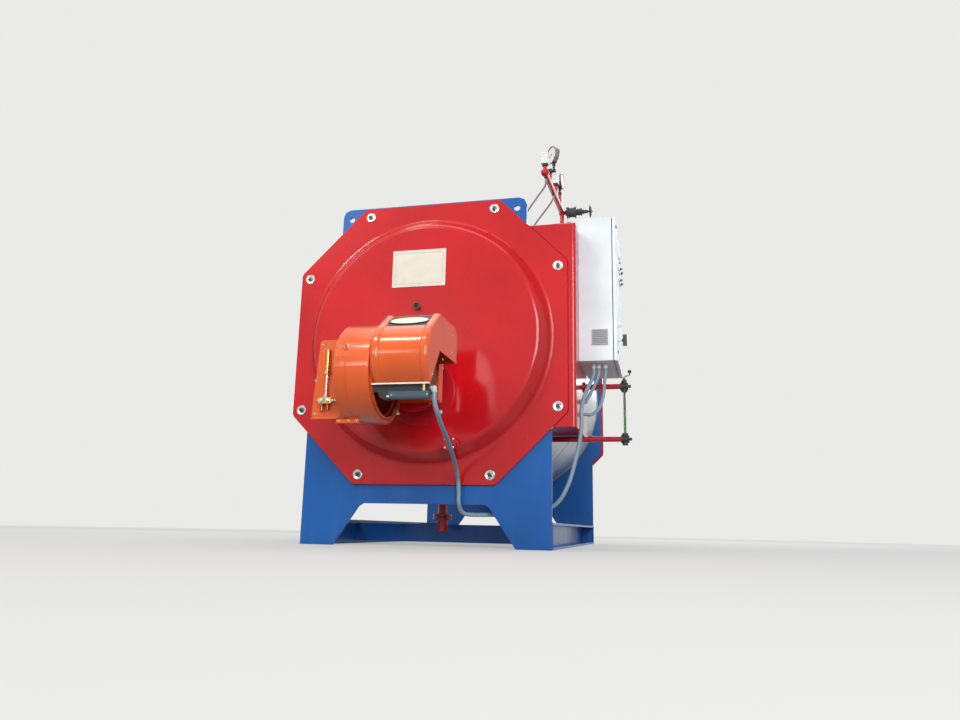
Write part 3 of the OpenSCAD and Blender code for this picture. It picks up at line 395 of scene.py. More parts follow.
class Shape:
    """Closed solids gathered in one mesh. Each is drawn in a local frame, whose Z points away
    from the surface it stands on."""

    def __init__(self):
        self.bm = bmesh.new()
        self.frame = Matrix.Identity(4)

    def stand(self, place, facing="up", spin=0.0):
        turn = FACING[facing] if isinstance(facing, str) else facing
        about_z = Matrix.Rotation(math.radians(spin), 4, "Z")
        self.frame = Matrix.Translation(place) @ turn @ about_z
        return self

    def skin(self, rings, capped=True, looped=False):
        """Faces between rings that have the same number of points."""
        loops = [[self.bm.verts.new(self.frame @ Vector(p)) for p in ring] for ring in rings]
        pairs = list(zip(loops, loops[1:])) + ([(loops[-1], loops[0])] if looped else [])
        for a, b in pairs:
            for i in range(len(a)):
                j = (i + 1) % len(a)
                self.bm.faces.new((a[i], a[j], b[j], b[i]))
        if capped and not looped:
            self.bm.faces.new(loops[0][::-1])
            self.bm.faces.new(loops[-1])
        return self

    def lathe(self, profile, sides=32, squeeze=1.0):
        """Turns (radius, height) points about local Z; squeeze flattens it along Y."""
        closed = profile[0] == profile[-1]
        rings = []
        for radius, height in (profile[:-1] if closed else profile):
            ring = (polar(radius, 360 * k / sides) for k in range(sides))
            rings.append([(x, squeeze * y, height) for x, y in ring])
        return self.skin(rings, looped=closed)

    def disc(self, radius, low, high, edge=0.0006, sides=32):
        return self.lathe([(radius - edge, low), (radius, low + edge), (radius, high - edge),
                           (radius - edge, high)], sides)

    def torus(self, radius, thick, height=0.0, sides=48, squeeze=1.0):
        around = (polar(thick, a) for a in range(0, 360, 36))
        ring = [(radius + out, height + up) for out, up in around]
        return self.lathe(ring + ring[:1], sides, squeeze)

    def block(self, low, high, edge=0.001):
        """Box with chamfered edges."""
        def ring(z, inset):
            x0, x1 = low[0] + inset, high[0] - inset
            y0, y1 = low[1] + inset, high[1] - inset
            return [(x0 + edge, y0, z), (x1 - edge, y0, z), (x1, y0 + edge, z), (x1, y1 - edge, z),
                    (x1 - edge, y1, z), (x0 + edge, y1, z), (x0, y1 - edge, z), (x0, y0 + edge, z)]
        return self.skin([ring(low[2], edge), ring(low[2] + edge, 0), ring(high[2] - edge, 0),
                          ring(high[2], edge)])

    def sweep(self, line, radius, sides=10, looped=False):
        """Round bar along a line; radius is a number or a function of the point's index."""
        size = radius if callable(radius) else (lambda i: radius)
        count = len(line)
        side, rings = Vector((0.3, 0.2, 1.0)), []
        for i in range(count):
            if looped:
                ahead, behind = line[(i + 1) % count], line[i - 1]
            else:
                ahead, behind = line[min(i + 1, count - 1)], line[max(i - 1, 0)]
            along = (Vector(ahead) - Vector(behind)).normalized()
            side = (side - along * side.dot(along)).normalized()
            other = along.cross(side)
            ring = (polar(size(i), 360 * k / sides) for k in range(sides))
            rings.append([Vector(line[i]) + a * side + b * other for a, b in ring])
        return self.skin(rings, looped=looped)

    def nut(self, radius, low, high):
        """Hexagon with chamfered corners; radius is to the corners."""
        return self.lathe([(radius * 0.9, low), (radius, low + radius * 0.08),
                           (radius, high - radius * 0.1), (radius * 0.88, high)], 6)

    def bolt(self, radius):
        """Hexagon bolt on a washer, with the end of its thread."""
        low = radius * 0.18
        high = low + radius * 0.9
        self.disc(radius * 1.35, -0.0005, low, 0.0003)
        self.nut(radius, low, high)
        return self.disc(radius * 0.5, high - 0.001, high + radius * 0.3, 0.0005, 16)

    def screw(self, radius):
        """Screw with a round head."""
        return self.lathe([(radius, -0.0004), (radius, radius * 0.2), (radius * 0.75, radius * 0.5),
                           (radius * 0.35, radius * 0.62), (0.0, radius * 0.64)], 20)

    def make(self, name, slot, finish=None, body=ROOT, crease=32.0):
        """The finished piece, in the finish of its slot unless another is named."""
        bm = self.bm
        bmesh.ops.remove_doubles(bm, verts=bm.verts, dist=2e-6)
        bmesh.ops.dissolve_degenerate(bm, edges=bm.edges, dist=1e-6)
        bmesh.ops.recalc_face_normals(bm, faces=bm.faces)
        limit = math.radians(crease)
        for edge in bm.edges:
            edge.smooth = len(edge.link_faces) != 2 or edge.calc_face_angle(0.0) < limit
        for face in bm.faces:
            face.smooth = True
        mesh = bpy.data.meshes.new(name)
        bm.to_mesh(mesh)
        bm.free()
        piece = bpy.data.objects.new(name, mesh)
        bpy.context.collection.objects.link(piece)
        mesh.materials.append(finishes[finish or slot])
        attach(piece, body)
        return piece


# Sizes, from the frame where a node gives them

AXIS_Z = center("front_door").z
DISH = corners("front_door")[0].y                # y of the dish's flat middle
BODY_LEN = corners("rear_frame")[1].y + DOOR_THICK
DOOR_BOLTS = ((0.426, 0.860), (0.840, 0.446))    # in one quarter of the door, from its middle
PLATE = (-0.044, 1.7445)
PLATE_HALF = (0.178, 0.1235)
SIGHT = (-0.044, 1.488)
PORT = (0.212, 0.610)
JACKET_R = corners("jacket")[1].x
BAND_W = 0.040
BANDS_Y = (corners("jacket_bands")[0].y + BAND_W / 2, center("jacket_bands").y,
           corners("jacket_bands")[1].y - BAND_W / 2)
STEAM_Y, STEAM_TOP = center("steam_outlet").y, corners("steam_outlet")[1].z
DRAIN_Y = center("drain_valve").y
HATCH_Z, FLUE_Z = center("rear_hatch").z, center("flue_outlet").z
RAIL_OUT, RAIL_W = corners("skid_rails")[1].x, 0.120

BURNER_Z = center("burner_plate").z
FAN_Y, FAN_Z = center("fan_wheel").y, BURNER_Z
MOTOR_END = corners("burner_motor")[1].x
SCROLL_X = (corners("burner_scroll")[0].x, corners("burner_scroll")[1].x - 0.008)
SCROLL_BACK = corners("burner_scroll")[1].y
SCROLL_TURNS = (             # centre y, centre z, radius, first and last angle in degrees
    (FAN_Y, FAN_Z - 0.008, 0.266, 0, -90),
    (FAN_Y, FAN_Z, 0.274, -90, -180),
    (FAN_Y + 0.008, FAN_Z, 0.282, -180, -270),
)
LUG_ANGLE = -113
BOSS = (-0.177, -0.866, 1.050)
BOSS_LEAN = 22.8             # degrees that the casing leans back at the boss
HEAD_Y = corners("burner_head")[0].y
HOOD_X = [corner.x for corner in corners("burner_hood")]
HOOD_LOW_Y = corners("hood_trim")[1].y
RAMP = Matrix.Rotation(math.radians(35), 4, "X")
RAMP_MIDDLE = (0.131, -0.7471, 1.2111)

CAB_X = (corners("cabinet_body")[0].x, corners("door_controls")[0].x)
CAB_Y = (corners("cabinet_body")[0].y, corners("cabinet_body")[0].y + 0.600)
CAB_Z = [corner.z for corner in corners("cabinet_body")]
GRIP_Z = 1.300
HEADER = (0.766, -0.1, 2.345)
HEADER_TURN = math.radians(-2)
RISER = (0.7904, 0.5996, 2.042)                  # where the manifold's riser leaves its socket
VALVE = (0.823, RISER[1], HEADER[2])
VALVE_WHEEL_X = 0.988
LEVEL = center("level_glass")[:2]
LEVEL_Z = (corners("level_glass")[0].z - 0.038, corners("level_glass")[1].z + 0.038)
HOUSING_SIDE, HOUSING_TOP = (corners("side_housing")[1][i] for i in (0, 2))


def scroll_line(x, inset, first, last):
    """Line round the fan casing between two angles: 0 is its back and -90 its bottom."""
    line = []
    for cy, cz, r, a0, a1 in SCROLL_TURNS:
        for a in range(a0, a1, -5):
            if last <= a <= first:
                y, z = polar(r - inset, a)
                line.append(at(x, cy + y, cz + z))
    return line


def on_header(s, x=0.0, z=0.0):
    """Point on the instrument manifold, s metres from its free end."""
    return at(*HEADER) + Matrix.Rotation(HEADER_TURN, 3, "Z") @ Vector((x, s, z))


# Body of the boiler

def add_door_bolts():
    heads = Shape()
    for sx in (-1, 1):
        for sz in (-1, 1):
            for x, z in DOOR_BOLTS:
                for y, facing in ((0.0, "front"), (BODY_LEN, "back")):
                    heads.stand(at(sx * x, y, AXIS_Z + sz * z), facing, 17 * sx + 40 * sz)
                    heads.nut(0.0142, 0.003, 0.0148).disc(0.0078, 0.012, 0.0187, 0.0008, 20)
    heads.make("door_bolt_heads", "bright_zinc", "dark_steel")


def add_name_plate():
    """Blank plate: a fine border line and four rivets."""
    rivets, line = Shape(), Shape()
    (half_x, half_z), face = PLATE_HALF, at(PLATE[0], DISH - 0.003, PLATE[1])
    for sx in (-1, 1):
        for sz in (-1, 1):
            corner = Vector((sx * (half_x - 0.011), 0, sz * (half_z - 0.011)))
            rivets.stand(face + corner, "front")
            rivets.lathe([(0.0042, 0.0), (0.0038, 0.0012), (0.002, 0.002), (0.0, 0.0022)], 16)
    line.stand(face, "front")
    ex, ez, w = half_x - 0.020, half_z - 0.020, 0.0010
    for s in (-1, 1):
        line.block((-ex, s * ez - w, -0.0004), (ex, s * ez + w, 0.0005), 0.0002)
        line.block((s * ex - w, -ez, -0.0004), (s * ex + w, ez, 0.0005), 0.0002)
    rivets.make("plate_rivets", "bright_zinc")
    line.make("plate_border", "plate_white", "plate_line")


def add_sight_and_port():
    """Glass of the peep hole, and the bolts of the blanked port below the burner."""
    eye = at(SIGHT[0], DISH - 0.026, SIGHT[1])
    ring = Shape().stand(eye, "front")
    ring.lathe([(0.0165, -0.001), (0.0165, 0.002), (0.0225, 0.002), (0.0235, 0.0), (0.0235, -0.001),
                (0.0165, -0.001)], 40)
    for a in (30, 150, 270):
        x, z = polar(0.0205, a)
        ring.stand(eye + Vector((x, -0.0018, z)), "front").screw(0.0022)
    ring.make("sight_ring", "bright_zinc", "dark_steel")
    glass = Shape().stand(eye, "front").disc(0.0165, -0.0005, 0.0006)
    glass.make("sight_pane", "sight_glass", "dark_glass")
    bolts = Shape()
    for a in range(45, 360, 90):
        x, z = polar(0.036, a)
        bolts.stand(at(PORT[0] + x, DISH - 0.084, PORT[1] + z), "front").bolt(0.0052)
    bolts.make("port_bolts", "bright_zinc")
    seam = Shape().stand(at(PORT[0], DISH, PORT[1]), "front").torus(0.034, 0.0035, 0.001)
    seam.stand(at(0.0, DISH, BURNER_Z), "front").torus(0.2155, 0.0028, 0.0005, 96)
    seam.make("front_welds", "boiler_red")


def weld_line(shape, spots, radius=0.0045):
    """Rippled weld bead along straight stretches between spots."""
    line = []
    for a, b in zip(spots, spots[1:]):
        line += even_steps([a, b], 0.006)
    shape.sweep(line, lambda i: radius * (1.0 + 0.16 * math.sin(i * 1.9)), 8)


def add_frame_welds():
    welds = Shape()
    inside = RAIL_OUT - RAIL_W
    for x0, x1 in ((-RAIL_OUT, -inside), (inside, RAIL_OUT)):
        for y in (0.0435, BODY_LEN - 0.0435):
            spots = ((x0, 0.004), (x0, 0.160), (x1, 0.160), (x1, 0.004))
            weld_line(welds, [at(x, y, z) for x, z in spots])
        inner = x1 if x1 < 0 else x0
        for share in (0.25, 0.75):
            middle = 0.042 + (BODY_LEN - 0.084) * share
            for y in (middle - 0.05, middle + 0.05):
                weld_line(welds, [at(inner, y, 0.022), at(inner, y, 0.138)], 0.0035)
    welds.make("frame_welds", "frame_blue")


def jacket_point(y, degrees, out=0.0):
    x, z = polar(JACKET_R + out, degrees)
    return at(x, y, AXIS_Z + z)


def outward(degrees):
    """Turn whose Z points straight out of the jacket at an angle."""
    return Matrix.Rotation(math.radians(90 - degrees), 4, "Y")


def add_jacket_seams():
    """Lap seams with screws, and the clamps of the three bands."""
    laps, screws = Shape(), Shape()
    low, high, seam, clamp = 0.046, 2.732, 205.0, 188.0
    section = ((-1.2, -0.002), (-1.2, 0.0012), (1.0, 0.0012), (1.1, -0.002))
    laps.skin([[jacket_point(y, seam + turn, out) for turn, out in section] for y in (low, high)])
    for k in range(18):
        screws.stand(jacket_point(0.12 + 0.15 * k, seam, 0.001), outward(seam)).screw(0.0045)
    for y in (0.5 * (a + b) - 0.020 for a, b in zip(BANDS_Y, BANDS_Y[1:])):
        ring = [(JACKET_R - 0.002, -0.013), (JACKET_R + 0.0012, -0.012), (JACKET_R + 0.0012, 0.012),
                (JACKET_R - 0.002, 0.013)]
        laps.stand(at(0, y, AXIS_Z), "back").lathe(ring + ring[:1], 160)
        for k in range(24):
            a = 7.5 + 15 * k
            screws.stand(jacket_point(y, a, 0.001), outward(a)).screw(0.004)
    clamps = Shape()
    for y in BANDS_Y:
        clamps.stand(jacket_point(y, clamp, 0.0025), outward(clamp))
        clamps.block((-0.045, -0.016, 0), (0.045, 0.016, 0.005), 0.001)
        clamps.block((-0.004, -0.014, 0.005), (0.014, 0.014, 0.014), 0.001)
        along = outward(clamp) @ FACING["right"]
        clamps.stand(jacket_point(y, clamp - 1, 0.009), along).bolt(0.006)
    laps.make("jacket_laps", "jacket_sheet")
    screws.make("jacket_screws", "bright_zinc")
    clamps.make("band_clamps", "bright_zinc")


def add_nozzle_rosettes():
    """Cover rings on the jacket round the steam outlet and the drain."""
    cover = Shape()
    for y, inner, outer, side in ((STEAM_Y, 0.0845, 0.122, 1), (DRAIN_Y, 0.0312, 0.055, -1)):
        def ring(r, lift):
            spots = []
            for k in range(48):
                x, dy = polar(r, k * 7.5)
                z = AXIS_Z + side * (math.sqrt(JACKET_R ** 2 - x * x) + lift)
                spots.append(at(x, y + dy, z))
            return spots
        cover.skin([ring(inner, -0.003), ring(inner, 0.006), ring(inner + 0.004, 0.0025),
                    ring(outer - 0.002, 0.0022), ring(outer, -0.003)], looped=True)
    cover.make("nozzle_rosettes", "jacket_sheet")


def add_rear_details():
    nuts = Shape()
    y = BODY_LEN - DISH
    for a in range(0, 360, 60):
        x, z = polar(0.2, a)
        nuts.stand(at(x, y + 0.026, HATCH_Z + z), "back", a).bolt(0.0105)
    nuts.make("hatch_nuts", "bright_zinc")
    seams = Shape().stand(at(0, y, FLUE_Z), "back").torus(0.2055, 0.003, 0.001, 80)
    seams.torus(0.1605, 0.004, 0.0125, 80).torus(0.1605, 0.004, 0.1475, 80)
    seams.make("flue_welds", "flue_grey")
    gasket = Shape().stand(at(0, y, HATCH_Z), "back").torus(0.2305, 0.0022, 0.0015, 96)
    gasket.make("hatch_gasket", "tray_black", "rubber")
    steam = Shape().stand(at(0, STEAM_Y, STEAM_TOP - 0.022), "down").torus(0.085, 0.005, 0.0, 64)
    steam.make("steam_weld", "boiler_red")


# Burner

def leaning(degrees):
    """Turn whose Z points forward and this much up."""
    return Matrix.Rotation(math.radians(90 - degrees), 4, "X")


def add_scroll_details():
    """Rolled rims, the standing seam with its lug, and the round boss with a screw."""
    rims = Shape()
    left, right = SCROLL_X[0] + 0.003, SCROLL_X[1] - 0.003
    edge = scroll_line(right, 0.0035, 0, -270)
    last = at(right, SCROLL_BACK - 0.002, 1.2185)
    rims.sweep([edge[0] + Vector((0, 0, 0.02))] + edge + [last], 0.0048)
    rims.sweep(scroll_line(left, 0.0035, -105, -255), 0.0048)
    rims.stand(at(SCROLL_X[1] + 0.008, FAN_Y, FAN_Z), "right").torus(0.2435, 0.004, 0.0, 96)
    rims.make("scroll_rims", "burner_orange")
    seam = Shape()
    seam.sweep(scroll_line(-0.170, -0.0006, -112, -192), 0.0032)
    lug_y, lug_z = polar(0.274, LUG_ANGLE)
    seam.stand(at(-0.178, FAN_Y + lug_y, FAN_Z + lug_z), leaning(-90 - LUG_ANGLE))
    seam.block((-0.018, -0.006, -0.006), (0.018, 0.020, 0.006), 0.002)
    seam.stand(at(*BOSS), leaning(BOSS_LEAN))
    seam.lathe([(0.020, -0.004), (0.020, 0.001), (0.017, 0.0035), (0.0105, 0.0038),
                (0.0095, 0.0015), (0.0, 0.001)], 32)
    seam.make("scroll_seam", "burner_orange")
    screw = Shape().stand(at(*BOSS), leaning(BOSS_LEAN))
    screw.nut(0.0075, 0.0, 0.0048)
    screw.make("scroll_screw", "bright_zinc", "dark_steel")


def add_head_details():
    """Folded lip under the burner head, its screws, and the nuts of the two flanges."""
    lip = Shape()
    lip.block(at(-0.428, HEAD_Y - 0.010, 0.684), at(-0.150, HEAD_Y + 0.004, 0.692), 0.0012)
    lip.block(at(-0.276, HEAD_Y - 0.010, 0.660), at(-0.143, HEAD_Y - 0.006, 0.690), 0.001)
    lip.block(at(-0.262, HEAD_Y - 0.004, 0.700), at(-0.240, HEAD_Y + 0.002, 1.115), 0.002)
    lip.make("head_lip", "burner_orange")
    screws = Shape()
    for x in (-0.262, -0.205, -0.158):
        screws.stand(at(x, HEAD_Y - 0.010, 0.674), "front").screw(0.0048)
    for x, z in ((-0.408, 0.715), (-0.385, 1.105), (-0.272, 1.105), (-0.412, 0.90)):
        screws.stand(at(x, HEAD_Y, z), "front").screw(0.0055)
    screws.make("head_screws", "bright_zinc")
    nuts = Shape()
    for a in range(45, 360, 90):
        x, z = polar(0.19, a)
        nuts.stand(at(x, DISH - 0.030, BURNER_Z + z), "front", a).bolt(0.0115)
    for a in range(0, 360, 45):
        x, z = polar(0.136, a + 22.5)
        nuts.stand(at(x, -0.233, BURNER_Z + z), "back", a).bolt(0.0085)
    nuts.make("burner_nuts", "bright_zinc")


def add_oil_fittings():
    """Nuts and valves of the upright oil line beside the scroll."""
    x, y = SCROLL_X[0] - 0.108, HEAD_Y - 0.014
    outlets = ((-0.020, 12, 0.727), (0.014, 40, 0.735))    # aside, turn and lower end
    brass = Shape().stand(at(x, y, 0))
    brass.nut(0.0170, 0.932, 0.9505).nut(0.0140, 0.968, 0.980)
    brass.torus(0.0100, 0.0018, 1.010).torus(0.0100, 0.0018, 1.030).torus(0.0100, 0.0018, 1.050)
    brass.nut(0.0135, 1.060, 1.072)
    brass.make("oil_nuts", "oil_brass")
    silver = Shape().stand(at(x, y, 0))
    silver.nut(0.0140, 0.802, 0.818).nut(0.0085, 0.840, 0.848).nut(0.0085, 0.905, 0.914)
    silver.disc(0.0062, 0.80, 0.934)
    for dx, turn, _ in outlets:
        silver.stand(at(x + dx, HEAD_Y - 0.026, 0.785), "front", turn)
        silver.nut(0.0125, 0.0, 0.009).disc(0.0075, 0.009, 0.015, 0.0015)
    silver.stand(at(x - 0.036, y, 0.786), "left").nut(0.010, 0.0, 0.010)
    silver.stand(at(x + 0.038, y, 0.786), "right").nut(0.010, 0.0, 0.010).disc(0.0055, 0.010, 0.020)
    silver.make("oil_valves", "bright_zinc")
    stubs = Shape()
    for dx, _, low in outlets:
        stubs.stand(at(x + dx, y, 0)).disc(0.0088, low, 0.768).nut(0.0115, 0.755, 0.765)
    stubs.make("oil_stubs", "oil_brass", "copper")


def add_hood_details():
    """Badge rim, screws, and small parts at the lower edge of the hood."""
    rim = Shape().stand(at(*RAMP_MIDDLE) + RAMP @ Vector((0, 0, 0.0022)), RAMP)
    rim.torus(0.1135, 0.0026, 0.0, 72, 0.050 / 0.114)
    rim.make("badge_rim", "tray_black", "dark_steel")
    screws = Shape()
    for y, z in ((-0.80, 0.90), (-0.62, 1.02), (-0.43, 1.10), (-0.43, 1.20)):
        screws.stand(at(HOOD_X[1], y, z), "right").screw(0.0055)
    for x in (HOOD_X[0] + 0.022, HOOD_X[1] - 0.022):
        for sy in (-1, 1):
            spot = at(x, *RAMP_MIDDLE[1:]) + RAMP @ Vector((0, sy * 0.062, 0.0078))
            screws.stand(spot, RAMP).screw(0.0050)
    screws.stand(at(0.067, HOOD_LOW_Y - 0.028, 0.778), "front").screw(0.0068)
    for x in (0.085, 0.278):
        screws.stand(at(x, HOOD_LOW_Y - 0.022, 0.787), "front").screw(0.0042)
    screws.make("hood_screws", "bright_zinc")
    bit = Shape().stand(at(0.257, HOOD_LOW_Y - 0.012, 0))
    bit.disc(0.0075, 0.805, 0.842).nut(0.0105, 0.812, 0.822).nut(0.009, 0.830, 0.836)
    bit.make("hood_brass", "oil_brass")
    lid = Shape().block(at(0.070, HOOD_LOW_Y - 0.0232, 0.7725),
                        at(0.288, HOOD_LOW_Y - 0.0210, 0.8015), 0.001)
    lid.make("terminal_lid", "box_bluegrey")
    ends = (HOOD_X[0] - 0.002, HOOD_X[1] + 0.002)
    bead = Shape().sweep([at(x, HOOD_LOW_Y - 0.0245, 0.8495) for x in ends], 0.0016, 8)
    bead.make("trim_bead", "trim_light")


def add_fan_details():
    """Hub nut and rivets of the fan wheel."""
    face = SCROLL_X[0] + 0.058
    hub = Shape().stand(at(face, FAN_Y, FAN_Z), "right")
    hub.nut(0.019, 0.0, 0.010).disc(0.0125, -0.001, 0.003)
    for a in range(0, 360, 60):
        y, z = polar(0.024, a)
        hub.stand(at(face, FAN_Y + y, FAN_Z + z), "right").screw(0.0032)
    hub.make("fan_hub_nut", "bright_zinc", body="fan")


def add_motor_cover():
    """Ribbed end cover of the fan motor, seen past the side of the hood."""
    cover = Shape().stand(at(MOTOR_END, FAN_Y, FAN_Z), "right")
    cover.lathe([(0.0640, -0.0004), (0.0652, 0.0030), (0.0630, 0.0062), (0.0520, 0.0070),
                 (0.0500, 0.0050), (0.0215, 0.0050), (0.0195, 0.0080), (0.0040, 0.0088)], 64)
    for a in range(0, 360, 30):
        cover.stand(at(MOTOR_END + 0.005, FAN_Y, FAN_Z), "right", a)
        cover.block((-0.0016, 0.024, -0.0004), (0.0016, 0.047, 0.0018), 0.0005)
    cover.make("motor_cover", "motor_dark")
    screws = Shape()
    for a in range(45, 360, 90):
        y, z = polar(0.0575, a)
        screws.stand(at(MOTOR_END + 0.0066, FAN_Y + y, FAN_Z + z), "right").screw(0.0034)
    screws.make("motor_screws", "bright_zinc")


# Conduits

BURNER_ROUTE = (       # from the terminal box, under the door and up to the cabinet
    (0.300, -0.800, 0.8057), (0.300, -0.800, 0.792), (0.300, -0.800, 0.778), (0.304, -0.784, 0.735),
    (0.307, -0.750, 0.702), (0.301, -0.660, 0.658), (0.282, -0.420, 0.577), (0.250, -0.160, 0.485),
    (0.240, -0.046, 0.410), (0.240, -0.022, 0.330), (0.242, -0.014, 0.256), (0.262, 0.040, 0.205),
    (0.380, 0.096, 0.200), (0.640, 0.112, 0.212), (0.800, 0.116, 0.262), (0.884, 0.110, 0.380),
    (0.938, 0.105, 0.560), (0.968, 0.105, 0.720), (0.970, 0.116, 0.850), (0.990, 0.170, 0.955),
    (1.020, 0.238, 1.045), (1.034, 0.260, 1.090), (1.034, 0.260, 1.112), (1.034, 0.260, 1.1277))
CONDUIT_B = (          # from the cabinet to the housing's upper gland
    (1.066, 0.260, 1.1277), (1.066, 0.260, 1.115), (1.066, 0.260, 1.102), (1.052, 0.261, 1.050),
    (1.018, 0.262, 0.980), (0.992, 0.263, 0.932), (0.984, 0.264, 0.915), (0.975, 0.264, 0.915),
    (0.9643, 0.264, 0.915))
CONDUIT_C = (          # from the cabinet to the housing's lower gland
    (1.108, 0.260, 1.1277), (1.108, 0.260, 1.115), (1.108, 0.260, 1.102), (1.100, 0.262, 1.030),
    (1.090, 0.264, 0.945), (1.062, 0.264, 0.870), (1.020, 0.264, 0.834), (0.988, 0.264, 0.835),
    (0.977, 0.264, 0.835), (0.9643, 0.264, 0.835))


def add_conduit(name, route, radius, node):
    """Flexible conduit with fine rings, in place of the plain CAD tube."""
    line = even_steps(curve([at(*p) for p in route], 12), 0.0022)
    tube = Shape().sweep(line, lambda i: radius - (0.0010 if i % 2 else 0.0), 14)
    piece = tube.make(name, "conduit_grey", crease=50.0)
    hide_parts(node)


def add_conduits():
    add_conduit("burner_flex", BURNER_ROUTE, 0.0130, "burner_conduit")
    add_conduit("cabinet_flex_b", CONDUIT_B, 0.0110, "cabinet_conduits")
    add_conduit("cabinet_flex_c", CONDUIT_C, 0.0110, "cabinet_conduits")
    nuts = Shape()
    for x, y, _ in (BURNER_ROUTE[-1], CONDUIT_B[0], CONDUIT_C[0]):
        nuts.stand(at(x, y, 0)).nut(0.0172, CAB_Z[0] - 0.012, CAB_Z[0] - 0.001)
        nuts.nut(0.0150, CAB_Z[0] - 0.0345, CAB_Z[0] - 0.020)
    for _, y, z in (CONDUIT_B[-1], CONDUIT_C[-1]):
        nuts.stand(at(HOUSING_SIDE, y, z), "right").nut(0.0168, 0.0, 0.009)
    nuts.stand(at(*BURNER_ROUTE[0][:2], 0)).nut(0.0168, 0.8055, 0.816)
    nuts.make("gland_nuts", "gland_grey")


# Cabinet

def add_cabinet_details():
    """Door seal, gland plate, vent bars and the screws of the cabinet's body."""
    seal = Shape()
    (left, right), (front, back), (low, high) = CAB_X, CAB_Y, CAB_Z
    x0, x1 = 1.1634, 1.1672
    for y in (front + 0.006, back - 0.016):
        seal.block(at(x0, y, low + 0.006), at(x1, y + 0.010, high - 0.006), 0.001)
    for z in (low + 0.006, high - 0.016):
        seal.block(at(x0, front + 0.006, z), at(x1, back - 0.006, z + 0.010), 0.001)
    seal.make("cabinet_seal", "control_black", "rubber")
    fixing, bars = Shape(), Shape()
    grille = center("cabinet_grille")
    for sx in (-1, 1):
        for sz in (-1, 1):
            spot = at(grille.x + sx * 0.0455, front - 0.008, grille.z + sz * 0.0455)
            fixing.stand(spot, "front").screw(0.0024)
    for k in range(11):
        x = grille.x - 0.040 + 0.008 * k
        bars.block(at(x - 0.0012, front - 0.0078, grille.z - 0.042),
                   at(x + 0.0012, front - 0.0055, grille.z + 0.042), 0.0004)
    bars.make("grille_bars", "grille_grey")
    plate = Shape().block(at(left + 0.05, front + 0.05, low - 0.0025),
                          at(right - 0.045, front + 0.33, low + 0.001), 0.0008)
    plate.make("gland_plate", "cabinet_grey")
    for x in (left + 0.062, right - 0.057):
        for y in (front + 0.062, front + 0.19, front + 0.318):
            fixing.stand(at(x, y, low - 0.0025), "down").screw(0.0036)
    for z in (low + 0.12, high - 0.12):
        for dz in (-0.020, 0.020):
            fixing.stand(at(right - 0.058, back + 0.003, z + dz), "back").screw(0.0034)
    fixing.make("cabinet_screws", "bright_zinc")


def add_door_details():
    """Rings, lenses, knobs and lock slots on the cabinet door, which move with it."""
    rings, slots, knobs = Shape(), Shape(), Shape()
    lens = {"lamp_green": Shape(), "lamp_red": Shape()}
    face = CAB_X[1]
    for i in range(3):
        for j in range(2):
            spot = at(face + 0.008, CAB_Y[1] - 0.19 - 0.09 * j, CAB_Z[1] - 0.17 - 0.08 * i)
            rings.stand(spot, "right")
            rings.lathe([(0.0112, -0.002), (0.0112, 0.001), (0.0146, 0.0006), (0.0152, -0.0015),
                         (0.0152, -0.007), (0.0112, -0.007), (0.0112, -0.002)], 40)
            if i == 0:
                glow = lens["lamp_green" if j else "lamp_red"].stand(spot, "right")
                glow.lathe([(0.0110, -0.001), (0.0105, 0.003), (0.007, 0.006), (0.0, 0.0072)], 32)
            else:
                knobs.stand(spot, "right", 35 * j)
                knobs.lathe([(0.0108, -0.001), (0.0104, 0.007), (0.009, 0.009), (0.0, 0.0095)], 32)
                knobs.block((-0.0022, -0.010, 0.008), (0.0022, 0.010, 0.017), 0.0008)
    for z in (CAB_Z[0] + 0.06, CAB_Z[1] - 0.06):
        slots.stand(at(face + 0.006, CAB_Y[0] + 0.03, z), "right", 30)
        slots.lathe([(0.0068, -0.0005), (0.0068, 0.0008), (0.0092, 0.0008), (0.0098, 0.0),
                     (0.0098, -0.0005), (0.0068, -0.0005)], 32)
        slots.block((-0.0045, -0.0012, -0.0003), (0.0045, 0.0012, 0.0014), 0.0003)
    grip_y = CAB_Y[0] + 0.05
    for a in range(45, 360, 90):
        y, z = polar(0.0185, a)
        slots.stand(at(face + 0.004, grip_y + y, GRIP_Z + z), "right").screw(0.0028)
    knobs.stand(at(face + 0.032, grip_y, GRIP_Z), "right")
    knobs.lathe([(0.0095, -0.006), (0.0095, 0.001), (0.0, 0.001)], 24)
    rings.make("control_rings", "bright_zinc", body="cabinet_door")
    slots.make("lock_slots", "bright_zinc", body="cabinet_door")
    knobs.make("control_knobs", "control_black", body="cabinet_door")
    for name, shape in lens.items():
        shape.make(name, "switch_white", name, body="cabinet_door")


# Instruments

def add_gauge_faces():
    """White dials with bare tick marks and a needle."""
    faces, marks, rims = Shape(), Shape(), Shape()
    for s, aside, up, turn in ((0.22, 0.024, 0.208, -50), (0.60, 0.0, 0.200, 90)):
        facing = Matrix.Rotation(HEADER_TURN + math.radians(turn), 4, "Z") @ FACING["front"]
        place = on_header(s, aside, up)
        faces.stand(place, facing).disc(0.0532, 0.0188, 0.0196)
        rims.stand(place, facing).torus(0.0585, 0.0022, 0.0205, 72)
        for k in range(31):
            inner, half = (0.0400, 0.0008) if k % 5 == 0 else (0.0445, 0.0005)
            marks.stand(place, facing, -45 + 9 * k)
            marks.block((inner, -half, 0.0195), (0.0495, half, 0.0199), 0.0001)
        needle = ((-0.013, -0.0020), (-0.013, 0.0020), (0.043, 0.0005), (0.043, -0.0005))
        marks.stand(place, facing, 205)
        marks.skin([[(x, y, h) for x, y in needle] for h in (0.0200, 0.0207)])
        marks.stand(place, facing).disc(0.0045, 0.0199, 0.0215)
    faces.make("gauge_dials", "switch_white", "dial_white")
    marks.make("gauge_marks", "control_black", "dark_ink")
    rims.make("gauge_rims", "gauge_brass")


